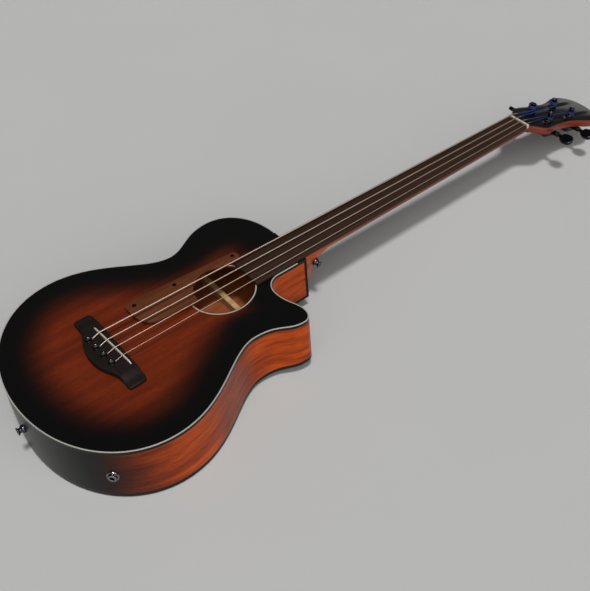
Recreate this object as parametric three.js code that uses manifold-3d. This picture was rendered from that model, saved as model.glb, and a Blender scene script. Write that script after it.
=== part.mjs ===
// Fretless acoustic bass guitar with one cutaway, an arched back and four geared tuners.
// Millimetres. +X runs from the tail to the headstock, +Y to the lowest string's side, +Z out of the top.
// The origin is the lowest point of the arched back, straight below the middle of the saddle.
import * as THREE from 'three';
import { mergeVertices } from 'three/addons/utils/BufferGeometryUtils.js';
import Module from 'manifold-3d';

const wasm = await Module();
wasm.setup();

// Clearances and cutters
const seat_gap = 0.3;
const pin_gap = 0.3;
const turning_gap = 0.35;
const overrun = 6;

// Scale, from the saddle to the nut
const scale_length = 812.8;
const string_spacing_saddle = 19.5;
const string_spacing_nut = 11.74;

// Body outline: the widest and narrowest places, and how full each curve between them is
const tail_reach = 153.3;
const lower_bout_x = -6.9;
const lower_bout_half = 183.2;
const waist_x = 164.9;
const waist_half = 111.5;
const upper_bout_x = 249.6;
const upper_bout_half = 140.8;
const joint_x = 319.5;
const shoulder_half = 48.6;
const horn_x = 237.4;
const horn_half = 133.6;
const horn_tip_x = 252;
const horn_tip_half = 113.8;
const cutaway_x = 240.3;
const cutaway_half = 60.2;
const cutaway_end_x = 266.6;
const cutaway_end_half = 31.1;
const tail_shares = [0.555, 0.59];
const hip_shares = [0.463, 0.259];
const chest_shares = [0.303, 0.493];
const shoulder_shares = [0.65, 0.512];
const horn_back_shares = [0.574, 0.414];
const horn_nose_shares = [0.53, 0.61];
const cutaway_shares = [0.35, 0.485];
const cutaway_heel_shares = [0.553, 0.615];

// Body depth and walls
const body_depth = 101;
const tail_rise = 3;
const tail_rise_from = 20;
const neck_rise = 20;
const neck_rise_from = 60;
const cross_arch_radius = 6000;
const arch_step = 40;
const top_thickness = 3;
const back_thickness = 3;
const side_thickness = 2.5;
const binding_width = 2.4;
const binding_height = 6;
const lining_width = 6;
const lining_height = 14;

// Sound hole and its ring
const hole_x = 183.9;
const hole_radius = 49.5;
const ring_inner_radius = 50.5;
const ring_outer_radius = 52.5;
const ring_depth = 1.2;

// Blocks
const neck_block_length = 38;
const neck_block_bass = 40;
const neck_block_treble = 27.9;
const tail_block_length = 20;
const tail_block_half = 45;

// Braces
const brace_width = 8;
const brace_height = 14;
const brace_tip_height = 4;
const brace_taper = 40;
const x_brace_cross_x = 105;
const x_brace_angle = 46;
const x_brace_front = 176;
const x_brace_rear = 236;
const upper_brace_x = 250;
const upper_brace_bass = 122;
const upper_brace_treble = 20;
const tone_bar_setback = 65.3;
const tone_bar_length = 150;
const tone_bar_angle = 80;
const back_brace_places = [-98, 10, 118, 213.5];
const back_brace_height = 16;
const bridge_plate_front = 14;
const bridge_plate_rear = 46;
const bridge_plate_half = 74;
const bridge_plate_thickness = 2.5;

// Bridge, saddle and pins
const bridge_half = 80.5;
const bridge_front = 8.5;
const bridge_wing_rear = 20.5;
const bridge_belly_rear = 36.5;
const bridge_belly_half = 64;
const bridge_corner = 9;
const bridge_thickness = 9.5;
const bridge_wing_thickness = 5;
const bridge_scoop_from = 54;
const bridge_scoop_to = 70;
const belly_shares = [0.4, 0.55];
const saddle_length = 94;
const saddle_thickness = 3;
const saddle_slant = 3.4;
const saddle_shoulder = 5;
const saddle_slot_depth = 7;
const string_rise_saddle = 13.3;
const pickup_thickness = 1.4;
const pin_setback = 19;
const pin_radius = 2.7;
const pin_tip_radius = 2.2;
const pin_length = 15;
const pin_neck_radius = 2.1;
const pin_head_radius = 4.6;
const pin_head_steps = 5;

// Strings, from the lowest to the highest
const string_names = ['string_e', 'string_a', 'string_d', 'string_g'];
const string_diameters = [2.54, 2.03, 1.65, 1.14];
const ball_radius = 2.6;
const ball_length = 4;
const string_bend = 3;
const string_sides = 6;
const winding_turns = 2.5;
const winding_steps = 24;
const winding_gap = 0.5;

// Fretboard, nut and neck
const board_end_x = 227.5;
const board_half_end = 29.7;
const board_half_nut = 21.5;
const board_thickness = 6.2;
const board_radius = 400;
const neck_set_angle = 0.48;
const nut_length = 5;
const nut_rise = 2.4;
const string_rise_nut = 0.6;
const neck_depth_nut = 14.6;
const neck_depth_heel = 18.5;
const heel_run = 86;
const heel_drop = 12;
const heel_drop_shares = [0, 0.1, 0.25, 0.46, 0.69, 1];
const heel_reach_shares = [1, 0.72, 0.52, 0.385, 0.315, 0.21];
const heel_half_shares = [0.97, 0.91, 0.84, 0.72, 0.61, 0.5];
const heel_top_share = 0.5;
const heel_cap_thickness = 2.5;
const tenon_half = 10;
const tenon_length = 16;
const tenon_depth = 52;
const rod_width = 6;
const rod_depth = 8.5;
const rod_nut_radius = 4;
const rod_end_setback = 12;

// Headstock, in its own tilted plane: length from the nut, and half widths
const head_tilt = 16.25;
const head_face_rise = 1;
const head_thickness = 12;
const veneer_thickness = 1.5;
const head_ear_s = 31;
const head_ear_half = 39;
const head_waist_s = 92;
const head_waist_half = 33.2;
const head_tip_s = 153;
const head_tip_half = 46.5;
const head_end_s = 187.2;
const head_end_y = 9;
const head_ear_shares = [0.35, 0.35];
const head_side_shares = [0.45, 0.5];
const head_tip_shares = [0.5, 0.3];
const head_end_shares = [0.42, 0.62];

// Tuners: posts, gears, worms, housings and knobs
const post_s_near = 55.4;
const post_s_far = 116.8;
const post_y = 20;
const post_shaft_radius = 3;
const post_foot_radius = 4.6;
const post_waist_radius = 4;
const post_top_radius = 5;
const post_foot_rise = 2.2;
const post_rise = 15.5;
const post_slot_width = 2.2;
const post_slot_depth = 4;
const bushing_bore_gap = 0.35;
const bushing_radius = 5.2;
const bushing_length = 9;
const bushing_flange_radius = 7.6;
const bushing_flange = 1.6;
const gear_teeth = 15;
const gear_pitch_radius = 7.5;
const gear_root_radius = 6.4;
const gear_tip_radius = 8.2;
const gear_width = 5;
const tooth_root_share = 0.46;
const tooth_tip_share = 0.2;
const worm_shaft_radius = 2;
const worm_tip_radius = 3.8;
const worm_root_half = 0.62;
const worm_tip_half = 0.3;
const worm_turns = 2;
const worm_steps = 10;
const worm_centre = 10.5;
const housing_wall = 1.4;
const housing_depth = 12;
const housing_room = 0.9;
const housing_corner = 4;
const barrel_radius = 4.6;
const barrel_reach = 39;
const knob_shaft_radius = 2.4;
const knob_collar_radius = 4.6;
const knob_collar_length = 3;
const knob_stem_radius = 3.2;
const knob_stem_length = 7;
const knob_length = 23;
const knob_half_width = 10.5;
const knob_waist_half = 6;
const knob_thickness = 7;
const knob_turn = 28;
const winding_foot = 4.4;

// Finger rest over the bass side of the sound hole
const rest_gap = 3;
const rest_thickness = 3;
const rest_tail_x = 53;
const rest_tail_half = 62;
const rest_head_x = 243.5;
const rest_head_half = 50;
const rest_inner_y = 34.5;
const rest_low_y = -3.4;
const rest_low_x = 127;
const rest_low_tail_x = 76;
const rest_hole_radius = 41;
const rest_corner = 9;
const rest_tail_screw_x = 65;
const rest_tail_screw_y = 50;
const rest_middle_screw_x = 133;
const rest_middle_screw_y = 47.5;
const rest_head_screw_x = 234.5;
const rest_head_screw_y = 42.5;
const rest_screw_places = [
	{ x: rest_tail_screw_x, y: rest_tail_screw_y },
	{ x: rest_middle_screw_x, y: rest_middle_screw_y },
	{ x: rest_head_screw_x, y: rest_head_screw_y },
];
const rest_screw_radius = 1.2;
const rest_screw_head = 3.1;
const rest_screw_head_height = 1.3;
const rest_foot_radius = 3.4;

// Strap buttons and output jack
const button_base_radius = 6.5;
const button_waist_radius = 3.8;
const button_flange_radius = 6.3;
const button_height = 10;
const button_flange = 1.6;
const button_screw_radius = 1.8;
const button_screw_length = 17;
const tail_button_drop = 49;
const heel_button_drop = 25.5;
const heel_button_x = 342;
const heel_button_lift = 0.3;
const jack_share = 0.64;
const jack_offset = 5.3;
const jack_drop = 52;
const jack_barrel_radius = 6;
const jack_bore_radius = 3.3;
const jack_length = 30;
const jack_bore_depth = 27;
const jack_flange_radius = 9.2;
const jack_flange = 2.2;
const jack_collar_radius = 6.8;
const jack_collar = 3.6;
const jack_nut_radius = 9;
const jack_nut_height = 4;

// Facets
const outline_facet = 12;
const fine_steps = 120;
const round_sides = 12;
const hole_sides = 36;
const shaft_roundness_share = 0.85;
const neck_sides = 12;
const heel_sides = 12;
const heel_levels = 9;

// Places that follow from the sizes above
const top_z = body_depth;
const top_under = top_z - top_thickness;
const half = (diameter) => diameter / 2;
const radians = THREE.MathUtils.degToRad;
const nut_x = scale_length;
const board_slope = Math.tan(radians(neck_set_angle));
const lead = 2 * Math.PI * gear_pitch_radius / gear_teeth;

const model = new THREE.Group();

// Materials
const plain = (color, roughness, metalness = 0) => (
	new THREE.MeshStandardMaterial({ color, roughness, metalness }));
const burst_mahogany = plain(0x4a1c0c, 0.2);
const side_mahogany = plain(0x8a3a16, 0.22);
const bare_mahogany = plain(0xb0703c, 0.7);
const neck_mahogany = plain(0x7a2c14, 0.4);
const spruce = plain(0xd9b27a, 0.75);
const cream_binding = plain(0xd8d2c4, 0.35);
const walnut = plain(0x4a382c, 0.6);
const rest_walnut = plain(0x6e5140, 0.55);
const bone = plain(0xe8e4da, 0.35);
const black_lacquer = plain(0x0c0a0a, 0.12);
const black_plastic = plain(0x101012, 0.2);
const black_chrome = plain(0x2a2a2e, 0.2, 0.9);
const chrome = plain(0xc8c8cc, 0.12, 1);
const bronze_wire = plain(0xb5a48c, 0.35, 0.9);
const steel = plain(0x9a9a9e, 0.35, 0.9);

function piece(name, geometry, material, parent = model) {
	const mesh = new THREE.Mesh(geometry, material);
	mesh.name = name;
	parent.add(mesh);
	return mesh;
}

// A closed geometry becomes a solid that can be cut and joined
function solidOf(geometry) {
	const bare = geometry.clone();
	bare.deleteAttribute('normal');
	bare.deleteAttribute('uv');
	const merged = mergeVertices(bare);
	return new wasm.Manifold(new wasm.Mesh({
		numProp: 3,
		vertProperties: Float32Array.from(merged.getAttribute('position').array),
		triVerts: Uint32Array.from(merged.index.array),
	}));
}

function geometryOf(solid) {
	const mesh = solid.getMesh();
	const geometry = new THREE.BufferGeometry();
	geometry.setAttribute('position', new THREE.BufferAttribute(Float32Array.from(mesh.vertProperties), 3));
	geometry.setIndex(Array.from(mesh.triVerts));
	return geometry;
}

const joined = (solids) => solids.reduce((whole, solid) => whole.add(solid));
const cutBy = (solid, cutters) => cutters.reduce((rest, cutter) => rest.subtract(cutter), solid);

// Straight prism over an outline of Vector2 points, from one height to another
function prism(points, low, high) {
	const shape = new THREE.Shape(points);
	const geometry = new THREE.ExtrudeGeometry(shape, { depth: high - low, bevelEnabled: false });
	return geometry.translate(0, 0, low);
}

function block(x_low, x_high, y_low, y_high, z_low, z_high) {
	const geometry = new THREE.BoxGeometry(x_high - x_low, y_high - y_low, z_high - z_low);
	return geometry.translate((x_low + x_high) / 2, (y_low + y_high) / 2, (z_low + z_high) / 2);
}

// Upright cylinder at x, y
function column(x, y, radius, low, high, sides = round_sides) {
	const geometry = new THREE.CylinderGeometry(radius, radius, high - low, sides);
	return geometry.rotateX(Math.PI / 2).translate(x, y, (low + high) / 2);
}

// Revolved about Z from [radius, height] pairs that start and end on the axis
function turned(profile, sides = round_sides) {
	const points = profile.map(([radius, rise]) => new THREE.Vector2(radius, rise));
	return new THREE.LatheGeometry(points, sides).rotateX(Math.PI / 2);
}

// An outline in Y and Z, drawn out along X
function alongX(points, low, high) {
	const basis = new THREE.Matrix4().makeBasis(
		new THREE.Vector3(0, 1, 0), new THREE.Vector3(0, 0, 1), new THREE.Vector3(1, 0, 0));
	return prism(points, low, high).applyMatrix4(basis);
}

// An outline in X and Z, drawn out along Y
function alongY(points, low, high) {
	const basis = new THREE.Matrix4().makeBasis(
		new THREE.Vector3(1, 0, 0), new THREE.Vector3(0, 0, 1), new THREE.Vector3(0, -1, 0));
	return prism(points, -high, -low).applyMatrix4(basis);
}

// A closed skin over rings of equal counts, with flat ends
function loft(rings) {
	const count = rings[0].length;
	const positions = rings.flat().flatMap((point) => [point.x, point.y, point.z]);
	const triangles = [];
	for (let ring = 0; ring + 1 < rings.length; ring += 1) {
		for (let side = 0; side < count; side += 1) {
			const next = (side + 1) % count;
			const [a, b] = [ring * count + side, ring * count + next];
			triangles.push(a, b, b + count, a, b + count, a + count);
		}
	}
	const last = (rings.length - 1) * count;
	for (let side = 1; side + 1 < count; side += 1) {
		triangles.push(0, side + 1, side);
		triangles.push(last, last + side, last + side + 1);
	}
	if (signedVolume(positions, triangles) < 0) {
		triangles.reverse();
	}
	const geometry = new THREE.BufferGeometry();
	geometry.setAttribute('position', new THREE.Float32BufferAttribute(positions, 3));
	geometry.setIndex(triangles);
	return geometry;
}

function signedVolume(positions, triangles) {
	const corner = (index) => new THREE.Vector3().fromArray(positions, index * 3);
	let volume = 0;
	for (let start = 0; start < triangles.length; start += 3) {
		const [a, b, c] = [0, 1, 2].map((step) => corner(triangles[start + step]));
		volume += a.dot(b.cross(c));
	}
	return volume;
}

// A curve between two places that leaves and arrives along the named axes
function ease(from, to, from_axis, to_axis, shares) {
	const lead_out = from.clone();
	lead_out[from_axis] += (to[from_axis] - from[from_axis]) * shares[0];
	const lead_in = to.clone();
	lead_in[to_axis] -= (to[to_axis] - from[to_axis]) * shares[1];
	return new THREE.CubicBezierCurve(from, lead_out, lead_in, to);
}

// Points along a chain of curves, closer together where the chain turns faster
function facetPoints(curves, facet = outline_facet) {
	const points = [];
	for (const curve of curves) {
		const bends = [0];
		for (let step = 1; step <= fine_steps; step += 1) {
			const before = curve.getTangent((step - 1) / fine_steps);
			const after = curve.getTangent(step / fine_steps);
			bends.push(bends[step - 1] + Math.abs(Math.atan2(before.cross(after), before.dot(after))));
		}
		const count = Math.max(1, Math.round(bends[fine_steps] / radians(facet)));
		for (let index = 0; index < count; index += 1) {
			const step = bends.findIndex((bend) => bend >= bends[fine_steps] * index / count);
			points.push(curve.getPoint(step / fine_steps));
		}
	}
	return points;
}

// The same outline a distance inside its edge
function inset(points, distance) {
	const inward = THREE.ShapeUtils.area(points) > 0 ? 1 : -1;
	return points.map((point, index) => {
		const before = points[(index + points.length - 1) % points.length];
		const after = points[(index + 1) % points.length];
		const first = new THREE.Vector2().subVectors(point, before).normalize();
		const second = new THREE.Vector2().subVectors(after, point).normalize();
		const normals = new THREE.Vector2(-first.y - second.y, first.x + second.x);
		return point.clone().addScaledVector(normals, inward * distance / (1 + first.dot(second)));
	});
}

// Body outline
const at = (x, y) => new THREE.Vector2(x, y);
const tail = at(-tail_reach, 0);
const bass_hip = at(lower_bout_x, lower_bout_half);
const bass_waist = at(waist_x, waist_half);
const bass_chest = at(upper_bout_x, upper_bout_half);
const bass_shoulder = at(joint_x, shoulder_half);
const joint_corner = at(joint_x, -cutaway_end_half);
const cutaway_end = at(cutaway_end_x, -cutaway_end_half);
const cutaway_deep = at(cutaway_x, -cutaway_half);
const horn_tip = at(horn_tip_x, -horn_tip_half);
const horn_back = at(horn_x, -horn_half);
const treble_waist = at(waist_x, -waist_half);
const treble_hip = at(lower_bout_x, -lower_bout_half);
const jack_target = ease(tail, treble_hip, 'y', 'x', tail_shares).getPointAt(jack_share);
const body_outline = facetPoints([
	ease(tail, bass_hip, 'y', 'x', tail_shares),
	ease(bass_hip, bass_waist, 'x', 'x', hip_shares),
	ease(bass_waist, bass_chest, 'x', 'x', chest_shares),
	ease(bass_chest, bass_shoulder, 'x', 'y', shoulder_shares),
	new THREE.LineCurve(bass_shoulder, joint_corner),
	new THREE.LineCurve(joint_corner, cutaway_end),
	ease(cutaway_end, cutaway_deep, 'x', 'y', [...cutaway_heel_shares].reverse()),
	ease(cutaway_deep, horn_tip, 'y', 'y', [...cutaway_shares].reverse()),
	ease(horn_tip, horn_back, 'y', 'x', [...horn_nose_shares].reverse()),
	ease(horn_back, treble_waist, 'x', 'x', [...horn_back_shares].reverse()),
	ease(treble_waist, treble_hip, 'x', 'x', [...hip_shares].reverse()),
	ease(treble_hip, tail, 'x', 'y', [...tail_shares].reverse()),
]);
const bodyPrism = (depth_in, low, high) => solidOf(prism(inset(body_outline, depth_in), low, high));
const bodyRing = (outer, inner, low, high) => bodyPrism(outer, low, high).subtract(
	bodyPrism(inner, low - overrun, high + overrun));

// Height of the back's outer face: level under the bridge, rising to the tail, to the neck and to both sides
function backHeight(x, y) {
	const across = Math.max(Math.abs(y), arch_step);
	const side_lift = (across ** 2 - arch_step ** 2) / (2 * cross_arch_radius);
	const tail_share = Math.max(0, (-x - tail_rise_from) / (tail_reach - tail_rise_from));
	const neck_share = THREE.MathUtils.smoothstep(x, neck_rise_from, joint_x);
	return side_lift + tail_rise * tail_share ** 2 + neck_rise * neck_share;
}

// The space between two lifts above the back's outer face
function backLayer(low_lift, high_lift) {
	const tail_steps = Math.ceil((tail_reach - tail_rise_from + overrun) / arch_step);
	const x_first = -tail_rise_from - arch_step * tail_steps;
	const x_count = Math.ceil((joint_x + overrun - x_first) / arch_step);
	const y_count = 2 * Math.ceil((lower_bout_half + overrun) / (2 * arch_step)) + 1;
	const y_first = -arch_step * y_count;
	const rows = [];
	for (const lift of [low_lift, high_lift]) {
		for (let column_index = 0; column_index <= x_count; column_index += 1) {
			for (let row_index = 0; row_index <= y_count; row_index += 1) {
				const x = x_first + column_index * arch_step;
				const y = y_first + row_index * 2 * arch_step;
				rows.push(x, y, backHeight(x, y) + lift);
			}
		}
	}
	const width = y_count + 1;
	const upper = width * (x_count + 1);
	const triangles = [];
	const face = (a, b, c, d) => triangles.push(a, b, c, a, c, d);
	for (let x_index = 0; x_index < x_count; x_index += 1) {
		for (let y_index = 0; y_index < y_count; y_index += 1) {
			const corner = x_index * width + y_index;
			face(corner, corner + 1, corner + width + 1, corner + width);
			face(upper + corner, upper + corner + width, upper + corner + width + 1, upper + corner + 1);
		}
		const first = x_index * width;
		const last = first + y_count;
		face(first, first + width, upper + first + width, upper + first);
		face(last + width, last, upper + last, upper + last + width);
	}
	for (let y_index = 0; y_index < y_count; y_index += 1) {
		const last = x_count * width + y_index;
		face(y_index + 1, y_index, upper + y_index, upper + y_index + 1);
		face(last, last + 1, upper + last + 1, upper + last);
	}
	const geometry = new THREE.BufferGeometry();
	geometry.setAttribute('position', new THREE.Float32BufferAttribute(rows, 3));
	geometry.setIndex(triangles);
	return solidOf(geometry);
}

// String places at the saddle, the nut and the pins
const saddle_slope = Math.tan(radians(saddle_slant));
const saddleX = (y) => -y * saddle_slope;
const saddle_y = [1.5, 0.5, -0.5, -1.5].map((steps_share) => steps_share * string_spacing_saddle);
const nut_y = [1.5, 0.5, -0.5, -1.5].map((steps_share) => steps_share * string_spacing_nut);
const pinX = (y) => saddleX(y) - pin_setback;
const boardUnder = (x) => top_z + seat_gap - Math.max(0, x - joint_x) * board_slope;
const boardTop = (x) => boardUnder(x) + board_thickness;
const boardHalf = (x) => THREE.MathUtils.mapLinear(x, board_end_x, nut_x, board_half_end, board_half_nut);
const neckTop = (x) => boardUnder(x) - seat_gap;
const saddle_top = top_z + string_rise_saddle - seat_gap;

// Headstock frame: s along its face, y as the body's, h out of its face
const head = new THREE.Group();
head.rotation.y = radians(head_tilt);
head.position.set(
	nut_x + nut_length + 2 * seat_gap + veneer_thickness * Math.sin(head.rotation.y), 0, top_z + head_face_rise);
head.updateMatrix();
model.add(head);
const wood_face = -veneer_thickness - seat_gap;
const wood_back = wood_face - head_thickness;
const posts = [
	{ s: post_s_near, y: post_y, side: 1 },
	{ s: post_s_far, y: post_y, side: 1 },
	{ s: post_s_far, y: -post_y, side: -1 },
	{ s: post_s_near, y: -post_y, side: -1 },
];

// Strings: each is one tube from its ball, over saddle and nut, and two and a half turns round its post
function stringRoute(index) {
	const radius = half(string_diameters[index]);
	const y = saddle_y[index];
	const hole_x_place = pinX(y) + pin_radius + pin_gap + radius;
	const floor = top_under - seat_gap - bridge_plate_thickness;
	const saddle_back = saddleX(y) - half(saddle_thickness) - seat_gap;
	const nut_back = nut_x + seat_gap + nut_length + seat_gap;
	const nut_point = new THREE.Vector3(nut_back, nut_y[index], boardTop(nut_x) + string_rise_nut + radius);
	const post = posts[index];
	const coil_radius = post_top_radius + turning_gap + radius;
	const start = nut_point.clone().applyMatrix4(head.matrix.clone().invert());
	const away = new THREE.Vector2(start.x - post.s, start.y - post.y);
	const reach = Math.acos(coil_radius / away.length());
	const first_angle = away.angle() + post.side * reach;
	const pitch = string_diameters[index] + winding_gap;
	const steps = winding_turns * winding_steps;
	const coil = [];
	for (let step = 0; step <= steps; step += 1) {
		const turn = step / winding_steps;
		const angle = first_angle + post.side * 2 * Math.PI * turn;
		coil.push(new THREE.Vector3(
			post.s + coil_radius * Math.cos(angle),
			post.y + coil_radius * Math.sin(angle),
			winding_foot + pitch * turn));
	}
	const run_out = new THREE.Vector3().subVectors(coil[steps], coil[steps - 1]).setZ(0);
	coil.push(coil[steps].clone().add(run_out.setLength(string_diameters[index])));
	return {
		radius,
		straight: [
			new THREE.Vector3(hole_x_place, y, floor - seat_gap - ball_length),
			new THREE.Vector3(hole_x_place, y, floor - seat_gap),
			new THREE.Vector3(hole_x_place, y, top_z + bridge_thickness),
			new THREE.Vector3(saddle_back, y, saddle_top + seat_gap + radius),
			nut_point,
		],
		coil: coil.map((point) => point.applyMatrix4(head.matrix)),
	};
}

// Rounds the corners of a route by quadratic bends
function rounded(points, bend) {
	const route = [points[0]];
	for (let index = 1; index + 1 < points.length; index += 1) {
		const [before, corner, after] = [points[index - 1], points[index], points[index + 1]];
		const enter = corner.clone().lerp(before, Math.min(0.45, bend / corner.distanceTo(before)));
		const leave = corner.clone().lerp(after, Math.min(0.45, bend / corner.distanceTo(after)));
		route.push(...new THREE.QuadraticBezierCurve3(enter, corner, leave).getPoints(3));
	}
	route.push(points[points.length - 1]);
	return route;
}

// Rings of a round section along a route, turned as little as the route allows
function ringsAlong(route, radiusAt, sides) {
	const rings = [];
	let across = null;
	for (let index = 0; index < route.length; index += 1) {
		const before = route[Math.max(0, index - 1)];
		const after = route[Math.min(route.length - 1, index + 1)];
		const forward = new THREE.Vector3().subVectors(after, before).normalize();
		if (across === null) {
			across = new THREE.Vector3(0, 1, 0);
		}
		across.addScaledVector(forward, -across.dot(forward)).normalize();
		const up = new THREE.Vector3().crossVectors(forward, across);
		const ring = [];
		for (let side = 0; side < sides; side += 1) {
			const angle = 2 * Math.PI * (side + half(1)) / sides;
			ring.push(route[index].clone()
				.addScaledVector(across, radiusAt(index) * Math.cos(angle))
				.addScaledVector(up, radiusAt(index) * Math.sin(angle)));
		}
		rings.push(ring);
	}
	return rings;
}

const string_routes = string_names.map((name, index) => stringRoute(index));
string_routes.forEach((route, index) => {
	const [ball_low, ball_high, ...rest] = route.straight;
	const stretch = rounded([ball_high, ...rest, route.coil[0]], string_bend);
	const ball_top = ball_high.clone().lerp(ball_low, seat_gap / ball_length);
	const path = [ball_low, ball_top, ...stretch.slice(0, -1), ...route.coil];
	const radiusAt = (place) => (place < 2 ? ball_radius : route.radius);
	piece(string_names[index], loft(ringsAlong(path, radiusAt, string_sides)), bronze_wire);
	let nearest = Infinity;
	for (let first = 0; first < route.coil.length; first += 1) {
		for (let second = first + half(winding_steps); second < route.coil.length; second += 1) {
			nearest = Math.min(nearest, route.coil[first].distanceTo(route.coil[second]));
		}
	}
	const own_gap = (nearest - string_diameters[index]).toFixed(2);
	console.log(`${string_names[index]} winding's least gap to itself ${own_gap} mm`);
});

// Channels that the strings pass through in the bridge, the top and the bridge plate
function stringChannel(index) {
	const route = string_routes[index];
	const [ball_low, ball_high, ...rest] = route.straight;
	const path = rounded([ball_high.clone().lerp(ball_low, 2), ...rest], string_bend).slice(0, -5);
	return solidOf(loft(ringsAlong(path, () => route.radius + 2 * pin_gap, 8)));
}
const string_channels = string_names.map((name, index) => stringChannel(index));
const pin_holes = saddle_y.map((y) => solidOf(column(
	pinX(y), y, pin_radius + pin_gap, top_under - overrun, top_z + bridge_thickness + overrun)));
const through_bridge = [...string_channels, ...pin_holes];

// Soundboard with its sound hole, the groove of the ring and the screw holes of the finger rest
const rest_low_z = top_z + seat_gap + rest_gap;
const rest_top = rest_low_z + rest_thickness;
const rest_screw_holes = rest_screw_places.map((place) => solidOf(column(
	place.x, place.y, rest_screw_radius + pin_gap, top_under - overrun, rest_top + overrun)));
const groove_low = top_z - ring_depth - seat_gap;
const ring_groove = solidOf(column(
	hole_x, 0, ring_outer_radius + seat_gap, groove_low, top_z + overrun, hole_sides)).subtract(
	solidOf(column(hole_x, 0, ring_inner_radius - seat_gap, 0, top_z + 2 * overrun, hole_sides)));
const sound_hole = solidOf(column(hole_x, 0, hole_radius, top_under - overrun, top_z + overrun, hole_sides));
const soundboard = cutBy(bodyPrism(binding_width + seat_gap, top_under, top_z),
	[sound_hole, ring_groove, ...through_bridge, ...rest_screw_holes]);
piece('soundboard', geometryOf(soundboard), burst_mahogany);
piece('soundhole_ring', geometryOf(
	solidOf(column(hole_x, 0, ring_outer_radius, top_z - ring_depth, top_z, hole_sides)).subtract(
		solidOf(column(hole_x, 0, ring_inner_radius, 0, top_z + overrun, hole_sides)))), cream_binding);

// Jack frame: x along the side of the body, z out of it
const edgeEnds = (index) => [body_outline[index], body_outline[(index + 1) % body_outline.length]];
const edgeMiddle = (index) => edgeEnds(index)[0].clone().lerp(edgeEnds(index)[1], half(1));
const edgeDistance = (index) => edgeMiddle(index).distanceTo(jack_target);
const jack_edge = body_outline.reduce((best, point, index) => (
	edgeDistance(index) < edgeDistance(best) ? index : best), 0);
const jack_way = new THREE.Vector2().subVectors(...edgeEnds(jack_edge)).normalize();
const jack_place = edgeMiddle(jack_edge).addScaledVector(jack_way, jack_offset);
const jack = new THREE.Group();
jack.position.set(jack_place.x, jack_place.y, top_z - jack_drop);
jack.setRotationFromMatrix(new THREE.Matrix4().makeBasis(
	new THREE.Vector3(jack_way.x, jack_way.y, 0),
	new THREE.Vector3(0, 0, 1),
	new THREE.Vector3(jack_way.y, -jack_way.x, 0)));
jack.updateMatrix();
model.add(jack);

// Sides, bindings, linings and the arched back
const back_top = back_thickness + seat_gap;
const above_back_binding = backLayer(binding_height + seat_gap, 2 * body_depth);
const above_back = backLayer(back_top, 2 * body_depth);
const tenon_slot = solidOf(block(
	joint_x - overrun - tenon_length, joint_x + overrun, -tenon_half - seat_gap, tenon_half + seat_gap,
	top_z - tenon_depth - seat_gap, top_z + overrun));
const tail_screw_hole = solidOf(new THREE.CylinderGeometry(
	button_screw_radius + pin_gap, button_screw_radius + pin_gap,
	2 * button_screw_length + 4 * button_screw_radius, round_sides)
	.rotateZ(Math.PI / 2).translate(-tail_reach, 0, top_z - tail_button_drop));
const jack_hole = solidOf(new THREE.CylinderGeometry(
	jack_barrel_radius + pin_gap, jack_barrel_radius + pin_gap, 4 * overrun, round_sides)
	.rotateX(Math.PI / 2).applyMatrix4(jack.matrix));
const side_top = top_z - binding_height - seat_gap;
const sides = cutBy(bodyRing(0, side_thickness, 0, side_top).intersect(above_back_binding),
	[tenon_slot, tail_screw_hole, jack_hole]);
piece('sides', geometryOf(sides), side_mahogany);
piece('binding_top', geometryOf(
	bodyRing(0, binding_width, top_z - binding_height, top_z).subtract(tenon_slot)), cream_binding);
piece('binding_back', geometryOf(
	bodyRing(0, binding_width, -overrun, body_depth).intersect(backLayer(0, binding_height))), black_plastic);
piece('back_plate', geometryOf(
	bodyPrism(binding_width + seat_gap, -overrun, body_depth).intersect(backLayer(0, back_thickness))),
side_mahogany);

const cavity = bodyPrism(side_thickness + seat_gap, 0, top_under - seat_gap).intersect(above_back);
const neck_block_low = joint_x - side_thickness - seat_gap - neck_block_length;
const tail_block_high = -tail_reach + side_thickness + seat_gap + tail_block_length;
const blockSpace = (grow) => joined([
	solidOf(block(
		neck_block_low - grow, joint_x, -neck_block_treble - grow, neck_block_bass + grow, 0, top_z)),
	solidOf(block(
		-tail_reach, tail_block_high + grow, -tail_block_half - grow, tail_block_half + grow, 0, top_z)),
]);
const rod_groove = solidOf(block(
	neck_block_low - overrun, joint_x, -rod_nut_radius - pin_gap, rod_nut_radius + pin_gap,
	neckTop(joint_x) - rod_depth - seat_gap, top_z));
const blocks = cavity.intersect(blockSpace(0));
const neck_side = solidOf(block(0, joint_x, -lower_bout_half, lower_bout_half, 0, top_z));
piece('neck_block', geometryOf(cutBy(blocks.intersect(neck_side), [tenon_slot, rod_groove])), bare_mahogany);

const lining_outer = side_thickness + seat_gap;
const jack_room = solidOf(column(0, 0, jack_nut_radius + 2 * seat_gap, -jack_length, jack_length, round_sides)
	.applyMatrix4(jack.matrix));
const lining_ring = bodyRing(lining_outer, lining_outer + lining_width, 0, body_depth).subtract(
	blockSpace(seat_gap).intersect(neck_side));
const liningTopSpace = (grow) => solidOf(block(
	-2 * tail_reach, 2 * joint_x, -2 * lower_bout_half, 2 * lower_bout_half,
	top_under - seat_gap - lining_height - grow, top_z));
const liningBackSpace = (grow) => backLayer(back_top - grow, back_top + lining_height + grow);
const lining_reach = lining_outer + lining_width;
piece('lining_top', geometryOf(cutBy(
	lining_ring.intersect(liningTopSpace(0)).intersect(cavity), [jack_room])), spruce);
piece('lining_back', geometryOf(cutBy(lining_ring.intersect(liningBackSpace(0)), [jack_room])), spruce);
const lining_notch = bodyRing(0, lining_reach + seat_gap, 0, body_depth);
piece('tail_block', geometryOf(cutBy(blocks, [
	neck_side, tail_screw_hole,
	lining_notch.intersect(liningTopSpace(seat_gap)),
	lining_notch.intersect(liningBackSpace(seat_gap)),
])), bare_mahogany);

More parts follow.
